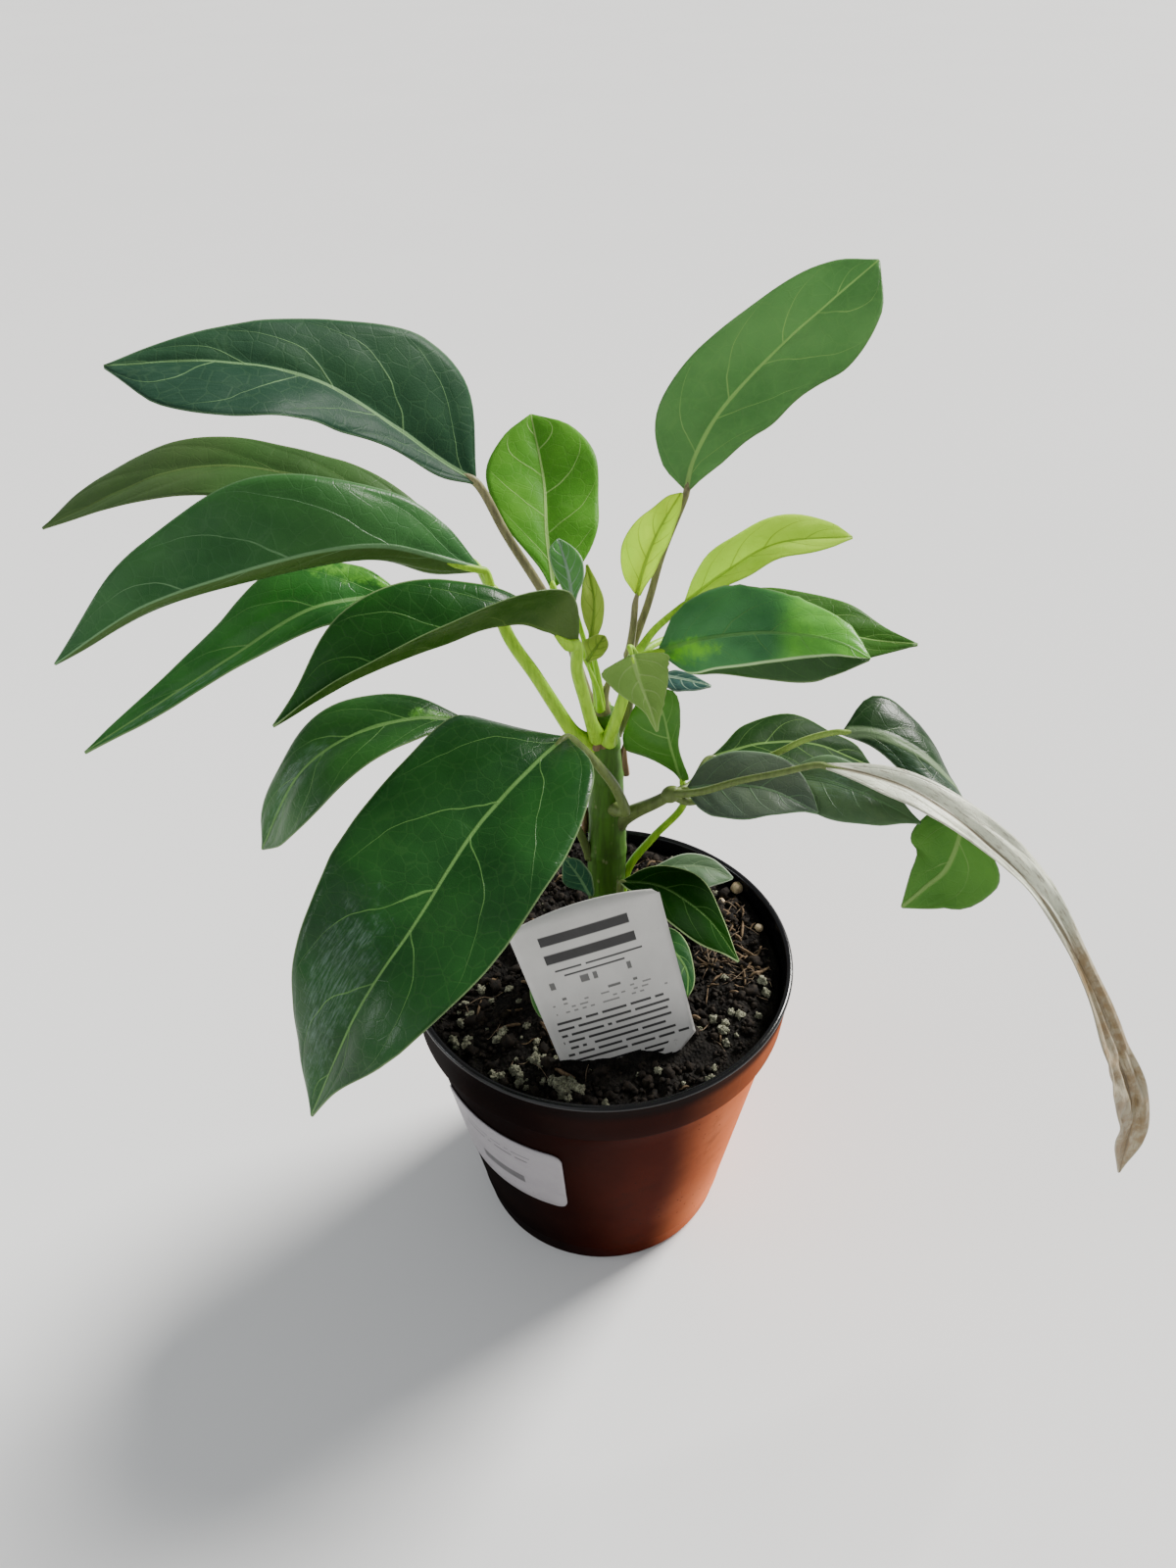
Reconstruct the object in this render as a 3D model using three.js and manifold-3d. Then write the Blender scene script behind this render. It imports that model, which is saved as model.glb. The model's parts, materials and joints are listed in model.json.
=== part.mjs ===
// A young umbrella plant in a round plastic nursery pot, in millimetres with +Z up.
// The origin is the centre of the pot's flat base. The viewer's side is -Y.
// The pot holds soil, the soil holds the stem and a plastic plant label, and the stem
// carries whole leaves and four jointed leaf stalks with their leaflets.
import * as THREE from 'three';
import { mergeVertices } from 'three/addons/utils/BufferGeometryUtils.js';
import Module from 'manifold-3d';

const wasm = await Module();
wasm.setup();

// ---------------------------------------------------------------- driving dimensions

const GAP = 0.3;

const POT = {
  height: 116,
  rimRadius: 65,
  collarHeight: 18.5,
  collarFootRadius: 63.2,
  shoulderRadius: 61,
  baseRadius: 45,
  footRound: 2.5,
  wall: 1.5,
  floor: 2,
  sides: 44,
};
const DRAIN = { count: 6, radius: 4, ring: 34 };

const SOIL = { middle: 109, riseToBack: 0.065, crumb: 0.8, rings: 6, sides: 30, wallGap: 0.5 };
const GRANULES = { count: 18, seed: 11, smallest: 1.3, largest: 2.8, sunk: 0.35, reach: 0.86 };

const LABEL = {
  foot: [11.5, -38.5, 100],
  width: 44,
  topSpread: 2,
  height: 62,
  archRise: 3.5,
  cornerCut: 9,
  thick: 0.8,
  leanBack: 15,
  tiltLeft: 14.5,
  turn: 5,
  spike: [9, 30],
};

const STICKER = {
  middleAngle: -128,
  halfAngle: 25,
  bottom: 43,
  top: 81,
  corner: 4,
  thick: 0.6,
  columns: 12,
};

const STEM = {
  route: [[2, 12, 88], [2, 12, 125], [2.5, 12, 160], [2, 12, 185], [1, 12, 206]],
  radii: [5.6, 5.8, 6.4, 5.4, 4.6],
  steps: 10,
  sides: 12,
};

const BLADE_THICK = 0.8;
const STALK_SIDES = 6;
const RUN_INTO_BLADE = 0.14;
// Where along a blade, from base to tip, its half-widths are given.
const WIDTH_STATIONS = [0, 0.1, 0.28, 0.5, 0.72, 0.9, 1];
const TIP_HALF_WIDTH = 0.4;

// Blades. Each has its midrib's points from base to tip, the half-widths left and right
// of it at the inner stations, the ways its upper face looks from base to tip, and the
// angle that each half folds up from flat. A stalk's points lead from the stem to the
// blade's base, and a blade with no stalk is a leaflet on a jointed stalk.
const BLADES = {
  leaf_upper_left: {
    midrib: [[-31, 2, 284], [-38, 1, 289], [-49, -3, 300], [-65, -10, 314], [-84, -18, 321], [-106, -26, 323]],
    left: [5, 8, 15, 21, 17],
    right: [18, 24, 16, 9, 4],
    face: [[0.2, -0.5, 0.8], [-0.1, -0.4, 0.9]],
    fold: [13, 19],
    stalk: [[-2, 15, 204], [-5, 15, 216], [-9, 11, 234], [-16, 6, 252], [-24, 3, 269]],
    stalkRadius: [1.8, 1.1],
    color: 0x2f5a35,
  },
  leaflet_left_rear: {
    midrib: [[-37, 26, 250], [-54, 32, 259], [-78, 36, 269], [-114, 36, 274], [-159, 30, 259]],
    left: [8, 16, 17, 11, 4],
    right: [5, 10, 11, 12, 8],
    face: [[0.1, -0.25, 0.95], [-0.1, -0.25, 0.95]],
    fold: [8, 7],
    color: 0x4a5a22,
  },
  leaflet_left_middle: {
    midrib: [[-32, 6, 257], [-43, 0, 264], [-54, -6, 270], [-68, -14, 273], [-92, -22, 270],
      [-112, -28, 265], [-134, -34, 253]],
    left: [6, 5, 5, 3, 2],
    right: [9, 16, 21, 14, 5],
    face: [[0.1, -0.6, 0.8], [0, -0.75, 0.65], [-0.2, -0.8, 0.55]],
    fold: [-70, 12],
    color: 0x2f5a3a,
  },
  leaflet_left_front: {
    midrib: [[-53, 0, 253], [-62, -4, 254], [-75, -12, 255], [-96, -22, 246], [-134, -34, 226]],
    left: [6, 7, 4, 4, 2],
    right: [10, 15, 11, 6, 3],
    face: [[-0.2, -0.6, 0.8], [-0.3, -0.3, 0.9]],
    fold: [5, 11],
    color: 0x3a6a30,
  },
  leaf_folded: {
    midrib: [[-6, -4, 239], [-13, -14, 250], [-22, -22, 257], [-38, -32, 257], [-59, -42, 253], [-78, -50, 245]],
    left: [7.5, 14, 11, 9, 5],
    right: [3, 8, 17, 16, 5],
    face: [[-0.2, -0.1, 1], [-0.2, -0.4, 0.9]],
    fold: [60, 35],
    stalk: [[-0.5, 8, 200], [-2, 4, 207], [-4, 1, 218], [-6, -2, 230]],
    stalkRadius: [2.1, 1.7],
    color: 0x2c5a2c,
  },
  leaf_lower_left: {
    midrib: [[-35, -11, 218], [-49, -17, 224], [-66, -25, 224], [-80, -31, 216], [-93, -36, 194]],
    left: [4, 9, 14, 15, 8],
    right: [4, 11, 12, 8, 6],
    face: [[-0.3, -0.3, 0.9], [-0.6, -0.5, 0.6]],
    fold: [7, 6],
    stalk: [[-3, 10, 150], [-11, 6, 175], [-26, -2, 203]],
    stalkRadius: [1.5, 0.9],
    color: 0x244a2a,
  },
  leaf_front: {
    midrib: [[-9, -18, 218], [-16, -30, 219], [-31, -48, 212], [-46, -72, 200],
      [-58, -86, 188], [-74, -96, 156]],
    left: [17, 26, 24, 18, 5],
    right: [24, 27, 28, 22, 12],
    face: [[-0.2, -0.4, 0.9], [-0.3, -0.8, 0.5], [-0.6, -0.5, 0.6]],
    fold: [9, 8],
    stalk: [[5, 8, 172], [8, 1.5, 176], [5, -1, 187], [-1, -8, 202], [-5, -13, 211]],
    stalkRadius: [2, 1.1],
    color: 0x1f5220,
  },
  leaf_top_rear: {
    midrib: [[-13, 24, 242], [-15, 38, 252], [-16, 54, 261], [-20, 72, 275]],
    left: [3.5, 11, 17, 16.5, 9],
    right: [9, 15, 16, 16.5, 10.5],
    face: [[0.2, -0.5, 0.85], [0, -0.5, 0.9]],
    fold: [10, 9],
    stalk: [[1.5, 17, 205], [-2, 19, 217], [-9, 21, 231]],
    stalkRadius: [1.7, 1],
    color: 0x5c8f36,
  },
  leaflet_right_top: {
    midrib: [[24, 14, 276], [26, 20, 281], [33, 30, 290], [51, 40, 306], [74, 45, 325]],
    left: [10, 18, 17, 14, 8],
    right: [9, 16, 19, 21, 14],
    face: [[-0.3, -0.2, 0.9], [0, -0.5, 0.9]],
    fold: [10, 8],
    color: 0x477a3c,
  },
  leaflet_right_pale: {
    midrib: [[11, 8, 248], [13, 9, 256], [16, 9, 265], [22, 7, 278]],
    left: [5, 8, 8, 5, 3],
    right: [2, 4, 5, 5, 3],
    face: [[-0.2, -0.4, 0.9], [-0.3, -0.6, 0.8]],
    fold: [13, 11],
    color: 0x9ab53a,
  },
  leaflet_right_yellow: {
    midrib: [[25, 15, 241], [35, 13, 251], [48, 9, 262], [67, 3, 267]],
    left: [6, 10, 10, 9, 5],
    right: [3, 6, 8, 7, 4],
    face: [[0, -0.3, 0.95], [-0.1, -0.3, 0.95]],
    fold: [8, 10],
    color: 0x96b036,
  },
  leaflet_right_front: {
    midrib: [[17, -1, 235], [29, -6, 242], [46, -12, 247], [61, -18, 248], [70, -22, 245]],
    left: [8, 14, 13, 10, 5],
    right: [8, 10, 12, 12, 8],
    face: [[0, -0.65, 0.75], [0.3, -0.25, 0.9]],
    fold: [9, -30],
    color: 0x2f6432,
  },
  leaflet_right_rear: {
    midrib: [[25, 18, 229], [43, 18, 231], [62, 16, 232], [79, 12, 230], [91, 8, 231]],
    left: [5, 12, 12, 10, 4],
    right: [4, 10, 12, 10, 4],
    face: [[-0.1, -0.6, 0.8], [0.3, -0.3, 0.9]],
    fold: [4, 3],
    color: 0x4a7238,
  },
  leaflet_right_low: {
    midrib: [[16, 1, 226], [23, -3, 227], [31, -8, 228]],
    left: [1, 3, 3, 2, 1],
    right: [2, 4, 5, 4, 2],
    face: [[0.2, -0.3, 0.9], [0.2, -0.4, 0.85]],
    fold: [5, 5],
    segments: 6,
    color: 0x2e4650,
  },
  leaflet_right_hanging: {
    midrib: [[9, -9, 239], [11, -12, 233], [14, -15, 226], [16, -18, 220]],
    left: [9, 8, 5, 2, 1],
    right: [9, 8.5, 7, 3.5, 1.2],
    face: [[0.1, 0.8, -0.5], [0.1, 0.8, -0.5]],
    fold: [2, 8],
    segments: 8,
    color: 0x6a8a3c,
  },
  leaf_behind_stem: {
    midrib: [[26, 11, 181], [22, 6, 197], [19, 6, 210], [16, 9, 217]],
    left: [3, 13, 15, 12, 8],
    right: [4, 3, 3, 5, 6],
    face: [[-0.5, -0.7, 0.45], [-0.3, -0.8, 0.6]],
    fold: [7, 15],
    stalk: [[7, 15, 128], [10, 16, 140], [18, 14, 155], [27, 13, 169]],
    stalkRadius: [1.6, 1.1],
    segments: 8,
    color: 0x2a6428,
  },
  leaflet_low_left: {
    midrib: [[27, 3, 183], [37, 1, 186], [51, -4, 188], [65, -10, 184]],
    left: [7, 11, 12, 10, 5],
    right: [8, 12, 12, 8, 2],
    face: [[0, -0.4, 1], [0.1, -0.5, 0.9]],
    fold: [7, 8],
    color: 0x2b4a35,
  },
  leaflet_low_rear: {
    midrib: [[36, 18, 184], [52.5, 25, 184], [68.5, 29, 181], [90.5, 31, 170]],
    left: [4, 10, 12, 8, 6],
    right: [6, 12, 14, 11, 5],
    face: [[-0.2, -0.1, 1], [0.2, -0.3, 0.9]],
    fold: [4, 5],
    color: 0x3c6a3e,
  },
  leaflet_low_curled: {
    midrib: [[73, 6, 202], [82, 5, 202], [93, 3, 198], [103, 0, 191], [111, -2, 180],
      [108, -8, 160], [102, -10, 154], [95, -12, 147]],
    left: [14, 11, 9, 15, 6],
    right: [4, 9, 10, 18, 8],
    face: [[0, -0.6, 0.8], [0.3, -0.5, 0.8], [0.9, 0, 0.4], [0.6, 0.5, -0.5], [0.5, 0.6, -0.5]],
    fold: [-12, -6],
    color: 0x4a6a52,
  },
  leaflet_low_twisted: {
    midrib: [[65, -12, 203], [76, -15, 202], [87, -19, 200], [97, -24, 196], [109, -29, 188],
      [121, -34, 178], [132, -38, 164], [145, -44, 143], [156, -47, 121], [168, -48, 95], [174, -48, 58]],
    left: [5, 7, 4.5, 5.5, 6],
    right: [6, 3, 3, 10, 5.5],
    face: [[0, -0.4, 0.9], [0.3, -0.5, 0.8], [0.3, -0.6, 0.7], [0.1, -0.95, 0.25]],
    fold: [16, 20],
    segments: 18,
    color: 0x8f8a6a,
  },
  leaflet_low_middle: {
    midrib: [[57.5, 7, 185], [68.5, 3, 186], [82.5, -3, 184], [96.5, -9, 179]],
    left: [5, 9, 8, 6, 2],
    right: [7, 12, 12, 9, 3],
    face: [[-0.1, -0.5, 0.85], [0.2, -0.4, 0.9]],
    fold: [4, 7],
    color: 0x2e4c38,
  },
  basal_leaf_front: {
    midrib: [[7.3, 0, 147.5], [19.4, -6.5, 151], [33.4, -15.5, 146], [43.4, -22.5, 134]],
    left: [5, 9, 10, 5, 2],
    right: [4, 7.5, 13.5, 11, 4],
    face: [[0.1, -0.3, 0.9], [0.6, -0.3, 0.7]],
    fold: [5, 14],
    stalk: [[5, 8, 129], [6.5, 3, 137]],
    stalkRadius: [1.7, 1.1],
    color: 0x21501f,
  },
  basal_leaf_rear: {
    midrib: [[14, 14, 136], [24, 16, 139], [36, 16, 139], [45, 14, 136]],
    left: [2, 3, 5, 4, 2],
    right: [3, 6, 9, 9, 4],
    face: [[0, -0.1, 1], [0.1, -0.4, 0.85]],
    fold: [8, 10],
    stalk: [[5.5, 11, 121], [10, 12.5, 129]],
    stalkRadius: [1.4, 0.9],
    segments: 8,
    color: 0x4a6c42,
  },
  basal_leaf_left: {
    midrib: [[-3, 1, 141], [-6, -1, 150], [-11, -3, 161]],
    left: [2, 6, 6, 4, 2],
    right: [2, 3, 4, 4, 3],
    face: [[-0.4, -0.75, 0.45], [-0.2, -0.7, 0.6]],
    fold: [5, 5],
    stalk: [[-1, 8, 124], [-2.5, 4, 132]],
    stalkRadius: [1.3, 0.9],
    segments: 6,
    color: 0x1f3f2c,
  },
  basal_leaf_right: {
    midrib: [[12, 2, 123], [22, -6, 124], [28, -14, 121], [28, -22, 117]],
    left: [3, 7, 6, 3, 2],
    right: [3, 6, 8, 7, 3],
    face: [[0.2, -0.2, 0.95], [0.4, -0.4, 0.8]],
    fold: [5, 4],
    stalk: [[5, 9, 114], [8, 5.5, 119]],
    stalkRadius: [1.4, 0.9],
    segments: 8,
    color: 0x2f5528,
  },
  basal_leaf_hanging: {
    midrib: [[-7, 0, 121], [-14, -11, 122], [-18, -21, 119], [-17, -30, 114]],
    left: [3, 8, 10, 9, 5],
    right: [2, 5, 6, 5, 3],
    face: [[-0.3, -0.4, 0.85], [-0.3, -0.6, 0.75]],
    fold: [8, 13],
    stalk: [[-1, 9, 113], [-4, 4.5, 118]],
    stalkRadius: [1.4, 0.9],
    segments: 8,
    color: 0x2c5a2a,
  },
};

// Three young leaves on the shoot that grows from the stem's top.
const SHOOT = {
  sheath: { route: [[1, 12, 206], [1.5, 12, 211], [3, 11.5, 217]], radius: [2.6, 0.8] },
  leaves: [
    {
      midrib: [[-7, 10, 245], [-8, 14, 251], [-11, 22, 258]],
      left: [2, 3, 4, 4, 3],
      right: [2, 4, 5, 4, 2],
      face: [[-0.2, -0.7, 0.6], [0, -0.6, 0.8]],
      fold: [8, 16],
      stalk: [[0, 12.5, 208], [-2, 12, 222], [-5, 10.5, 236]],
      stalkRadius: [1.2, 0.7],
    },
    {
      midrib: [[-2, 8, 233], [-1, 13, 243], [-3, 20, 251]],
      left: [1, 3, 4, 3, 1],
      right: [2, 3, 3, 2, 1],
      face: [[-0.1, -0.75, 0.65], [0, -0.75, 0.65]],
      fold: [20, 20],
      stalk: [[1, 11.5, 208], [0, 9, 220]],
      stalkRadius: [1.2, 0.7],
    },
    {
      midrib: [[-3, 5.5, 228], [-1, 5, 232], [2, 7, 235.5]],
      left: [1, 2, 4, 3, 2],
      right: [1, 2, 3, 3, 2],
      face: [[-0.1, -0.7, 0.7], [0, -0.7, 0.7]],
      fold: [20, 15],
      stalk: [[0.5, 10.5, 208], [-0.5, 8, 217]],
      stalkRadius: [1.1, 0.7],
    },
  ],
  segments: 6,
  color: 0x8fae3e,
};

// Jointed stalks: a main stalk from the stem to its joint, and from the joint one small
// stalk to the base of each leaflet that it names.
const STALKS = {
  stalk_left: {
    route: [[-2, 11, 195], [-7.5, 7, 202], [-12.5, 4.5, 213], [-18, 3, 225], [-25, 3, 238], [-29, 6, 250]],
    radius: [2.5, 1.7],
    joint: 2.3,
    color: 0x9ab83c,
    branches: [
      { to: 'leaflet_left_rear', via: [[-32, 14, 251]] },
      { to: 'leaflet_left_middle', via: [] },
      { to: 'leaflet_left_front', via: [[-38, 2, 252]] },
    ],
  },
  stalk_right: {
    route: [[3, 7, 199], [4, 4, 205], [6, 1, 214], [9, 1, 226], [10, 2, 231]],
    radius: [2.1, 1.6],
    joint: 2,
    color: 0x9ab83c,
    branches: [
      { to: 'leaflet_right_yellow', via: [[16, 9, 236]] },
      { to: 'leaflet_right_front', via: [] },
      { to: 'leaflet_right_rear', via: [[16, 11, 230]] },
      { to: 'leaflet_right_low', via: [] },
      { to: 'leaflet_right_hanging', via: [[9.5, -4, 237]] },
    ],
  },
  stalk_right_rear: {
    route: [[5, 14, 197], [8.5, 14, 204], [9, 13, 214], [9, 12, 226]],
    radius: [1.8, 1.3],
    joint: 1.7,
    color: 0x7a8a50,
    branches: [
      { to: 'leaflet_right_pale', via: [[10, 9, 238]] },
      { to: 'leaflet_right_top', via: [[14, 15, 240], [18, 16, 256]] },
    ],
  },
  stalk_low_right: {
    route: [[6, 11, 165], [11, 7.5, 171], [17, 3, 178], [22, 1, 183]],
    radius: [3, 1.8],
    joint: 2.7,
    color: 0x55632e,
    branches: [
      { to: 'leaflet_low_left', via: [] },
      { to: 'leaflet_low_rear', via: [[29, 9, 181]] },
      { to: 'leaflet_low_curled', via: [[30, 6, 179.5], [39, 9, 184], [54, 9, 192], [62.5, 8, 198]] },
      { to: 'leaflet_low_twisted', via: [[30, -6, 189.3], [40.5, -9, 195.5], [52, -11, 200]] },
      { to: 'leaflet_low_middle', via: [[27, 1.5, 179.5], [35, 1.5, 181], [46, 1, 184]] },
    ],
  },
};
const BRANCH_RADIUS = [1.3, 0.9];
const BRANCH_STRAIGHT = 2;

// ---------------------------------------------------------------- geometry helpers

const point = (p) => new THREE.Vector3(...p);
const curveThrough = (points) => new THREE.CatmullRomCurve3(points.map(point));
const mix = THREE.MathUtils.lerp;

function geometryOf(points, triangles) {
  const geometry = new THREE.BufferGeometry().setFromPoints(points);
  geometry.setIndex(triangles.flat());
  return geometry;
}

function toSolid(geometry) {
  const bare = geometry.clone();
  bare.deleteAttribute('normal');
  bare.deleteAttribute('uv');
  const merged = mergeVertices(bare, 1e-4);
  return new wasm.Manifold(new wasm.Mesh({
    numProp: 3,
    vertProperties: new Float32Array(merged.attributes.position.array),
    triVerts: new Uint32Array(merged.index.array),
  }));
}

function toGeometry(solid) {
  const mesh = solid.getMesh();
  const geometry = new THREE.BufferGeometry();
  geometry.setAttribute('position', new THREE.BufferAttribute(mesh.vertProperties, 3));
  geometry.setIndex(new THREE.BufferAttribute(mesh.triVerts, 1));
  geometry.computeVertexNormals();
  return geometry;
}

// Smooth value between given ones, with slopes taken from the neighbours.
function smoothValue(places, values, t) {
  const last = places.length - 1;
  const k = THREE.MathUtils.clamp(places.findIndex((p) => p > t) - 1, 0, last - 1);
  const i = t >= places[last] ? last - 1 : k;
  const slope = (j) => {
    const a = Math.max(j - 1, 0);
    const b = Math.min(j + 1, last);
    return (values[b] - values[a]) / (places[b] - places[a]);
  };
  const h = places[i + 1] - places[i];
  const u = (t - places[i]) / h;
  const u2 = u * u;
  const u3 = u2 * u;
  return (2 * u3 - 3 * u2 + 1) * values[i] + (u3 - 2 * u2 + u) * h * slope(i)
    + (3 * u2 - 2 * u3) * values[i + 1] + (u3 - u2) * h * slope(i + 1);
}

// A round solid along a smooth route, with its radius changing from end to end.
function roundAlong(route, radiusAt, steps, sides) {
  const curve = curveThrough(route);
  const centres = curve.getSpacedPoints(steps);
  const frames = curve.computeFrenetFrames(steps, false);
  const points = [];
  const triangles = [];
  for (let k = 0; k <= steps; k += 1) {
    for (let s = 0; s < sides; s += 1) {
      const turn = (2 * Math.PI * s) / sides;
      points.push(centres[k].clone()
        .addScaledVector(frames.normals[k], radiusAt(k / steps) * Math.cos(turn))
        .addScaledVector(frames.binormals[k], radiusAt(k / steps) * Math.sin(turn)));
    }
  }
  for (let k = 0; k < steps; k += 1) {
    for (let s = 0; s < sides; s += 1) {
      const a = k * sides + s;
      const b = k * sides + ((s + 1) % sides);
      triangles.push([a, b, b + sides], [a, b + sides, a + sides]);
    }
  }
  for (let s = 1; s < sides - 1; s += 1) {
    const end = steps * sides;
    triangles.push([0, s + 1, s], [end, end + s, end + s + 1]);
  }
  return geometryOf(points, triangles);
}

function stemRadius(t, grow = 0) {
  const places = STEM.radii.map((r, i) => i / (STEM.radii.length - 1));
  return smoothValue(places, STEM.radii, t) + grow;
}

function stemSolid(grow) {
  const route = STEM.route.map((p) => [...p]);
  route[0][2] -= grow;
  route[route.length - 1][2] += grow;
  return toSolid(roundAlong(route, (t) => stemRadius(t, grow), STEM.steps, STEM.sides));
}

// A stalk that swells at its foot.
function stalkSolid(route, radius, steps) {
  const radiusAt = (t) => mix(radius[0], radius[1], Math.sqrt(t));
  return toSolid(roundAlong(route, radiusAt, steps, STALK_SIDES));
}

// ---------------------------------------------------------------- leaf blades

const BLADE_COLUMNS = [-1, -0.5, 0, 0.5, 1];

function bladeGeometry(blade, segments) {
  const curve = curveThrough(blade.midrib);
  const widths = {
    left: [1, ...blade.left, TIP_HALF_WIDTH],
    right: [1, ...blade.right, TIP_HALF_WIDTH],
  };
  const faces = blade.face.map((f) => point(f).normalize());
  const top = [];
  const bottom = [];
  for (let k = 0; k <= segments; k += 1) {
    const t = k / segments;
    const centre = curve.getPointAt(t);
    const along = curve.getTangentAt(t);
    const place = t * (faces.length - 1);
    const i = Math.min(Math.floor(place), faces.length - 2);
    const look = faces[i].clone().lerp(faces[i + 1], place - i);
    const side = along.clone().cross(look).normalize();
    const up = side.clone().cross(along).normalize();
    for (const q of BLADE_COLUMNS) {
      const list = q > 0 ? widths.right : widths.left;
      const halfWidth = Math.max(smoothValue(WIDTH_STATIONS, list, t), TIP_HALF_WIDTH);
      const fold = THREE.MathUtils.degToRad(blade.fold[q > 0 ? 1 : 0]);
      const out = side.clone().multiplyScalar(Math.sign(q) * Math.cos(fold))
        .addScaledVector(up, q === 0 ? 0 : Math.sin(fold));
      const surface = centre.clone().addScaledVector(out, Math.abs(q) * halfWidth);
      const normal = q === 0 ? up.clone() : up.clone().multiplyScalar(Math.cos(fold))
        .addScaledVector(side, -Math.sign(q) * Math.sin(fold));
      top.push(surface.clone().addScaledVector(normal, BLADE_THICK / 2));
      bottom.push(surface.clone().addScaledVector(normal, -BLADE_THICK / 2));
    }
  }
  return closedSheet(top, bottom, segments, BLADE_COLUMNS.length);
}

// Joins two like grids of points, one above the other, into one closed thin solid. Both
// faces are split into triangles alike.
function closedSheet(top, bottom, rows, columns) {
  const under = top.length;
  const triangles = [];
  const at = (row, column) => row * columns + column;
  const addWall = (a, b) => triangles.push([a, b, b + under], [a, b + under, a + under]);
  for (let r = 0; r < rows; r += 1) {
    for (let c = 0; c < columns - 1; c += 1) {
      const a = at(r, c);
      const b = at(r, c + 1);
      const d = at(r + 1, c);
      const e = at(r + 1, c + 1);
      triangles.push([a, b, e], [a, e, d], [a + under, e + under, b + under], [a + under, d + under, e + under]);
    }
    addWall(at(r, 0), at(r + 1, 0));
    addWall(at(r + 1, columns - 1), at(r, columns - 1));
  }
  for (let c = 0; c < columns - 1; c += 1) {
    addWall(at(0, c + 1), at(0, c));
    addWall(at(rows, c), at(rows, c + 1));
  }
  return geometryOf([...top, ...bottom], triangles);
}

// A whole leaf: its blade joined to the stalk, which runs on into the blade's base.
function leafSolid(leaf, segments) {
  const blade = toSolid(bladeGeometry(leaf, segments));
  const base = curveThrough(leaf.midrib);
  const inside = base.getPointAt(RUN_INTO_BLADE).toArray();
  const stalk = stalkSolid([...leaf.stalk, leaf.midrib[0], inside], leaf.stalkRadius, leaf.stalk.length + 3);
  return blade.add(stalk);
}

// ---------------------------------------------------------------- the pot and what fills it

function potOuterRadius(z) {
  const shoulder = POT.height - POT.collarHeight;
  return mix(POT.baseRadius, POT.shoulderRadius, z / shoulder);
}

function makePot() {
  const shoulder = POT.height - POT.collarHeight;
  const outline = [
    [0, 0],
    [POT.baseRadius - POT.footRound, 0],
    [POT.baseRadius - 0.5, 0.8],
    [potOuterRadius(POT.footRound), POT.footRound],
    [POT.shoulderRadius, shoulder],
    [POT.collarFootRadius, shoulder],
    [POT.rimRadius - 0.3, POT.height - 1.2],
    [POT.rimRadius - 0.8, POT.height],
    [POT.rimRadius - 1.6, POT.height],
    [POT.rimRadius - 2.1, POT.height - 1.2],
    [POT.collarFootRadius - POT.wall - 0.2, shoulder + 1.5],
    [POT.shoulderRadius - POT.wall, shoulder - 1],
    [potOuterRadius(POT.floor + 3) - POT.wall, POT.floor + 3],
    [POT.baseRadius - POT.wall - 2.5, POT.floor],
    [0, POT.floor],
  ];
  const profile = outline.map(([r, z]) => new THREE.Vector2(r, z));
  const shell = new THREE.LatheGeometry(profile, POT.sides).rotateX(Math.PI / 2);
  let solid = toSolid(shell);
  for (let i = 0; i < DRAIN.count; i += 1) {
    const turn = ((i + 0.5) * 2 * Math.PI) / DRAIN.count;
    const hole = new THREE.CylinderGeometry(DRAIN.radius, DRAIN.radius, POT.floor * 4, 12)
      .rotateX(Math.PI / 2)
      .translate(DRAIN.ring * Math.cos(turn), DRAIN.ring * Math.sin(turn), 0);
    solid = solid.subtract(toSolid(hole));
  }
  return toGeometry(solid);
}

function soilHeight(x, y) {
  const crumbs = Math.sin(x * 0.31 + 1) * Math.cos(y * 0.27) + 0.6 * Math.sin(x * 0.11 - y * 0.17);
  return SOIL.middle + SOIL.riseToBack * y + SOIL.crumb * crumbs;
}

function seededDraw(seed) {
  let state = seed;
  return () => {
    state = (state * 16807) % 2147483647;
    return state / 2147483647;
  };
}

// The soil fills the pot from the floor up; its top rises towards the back.
function soilGeometry() {
  const rings = [
    [POT.baseRadius - POT.wall - 3.2, POT.floor + SOIL.wallGap],
    [potOuterRadius(POT.floor + 4) - POT.wall - SOIL.wallGap, POT.floor + 4],
    [POT.shoulderRadius - POT.wall - SOIL.wallGap - 0.2, POT.height - POT.collarHeight - 1.6],
  ];
  const points = [new THREE.Vector3(0, 0, POT.floor + SOIL.wallGap)];
  const ringAt = (radius, height) => {
    for (let s = 0; s < SOIL.sides; s += 1) {
      const turn = (2 * Math.PI * s) / SOIL.sides;
      const x = radius * Math.cos(turn);
      const y = radius * Math.sin(turn);
      points.push(new THREE.Vector3(x, y, height ?? soilHeight(x, y)));
    }
  };
  rings.forEach(([radius, height]) => ringAt(radius, height));
  const topRadius = POT.collarFootRadius - POT.wall - 1.2;
  for (let r = SOIL.rings; r >= 1; r -= 1) ringAt((topRadius * r) / SOIL.rings);
  points.push(new THREE.Vector3(0, 0, soilHeight(0, 0)));
  const count = rings.length + SOIL.rings;
  const triangles = [];
  for (let s = 0; s < SOIL.sides; s += 1) {
    const n = (s + 1) % SOIL.sides;
    triangles.push([0, 1 + n, 1 + s]);
    for (let r = 0; r < count - 1; r += 1) {
      const a = 1 + r * SOIL.sides;
      const b = a + SOIL.sides;
      triangles.push([a + s, a + n, b + n], [a + s, b + n, b + s]);
    }
    const last = 1 + (count - 1) * SOIL.sides;
    triangles.push([last + s, last + n, points.length - 1]);
  }
  return geometryOf(points, triangles);
}

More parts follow.
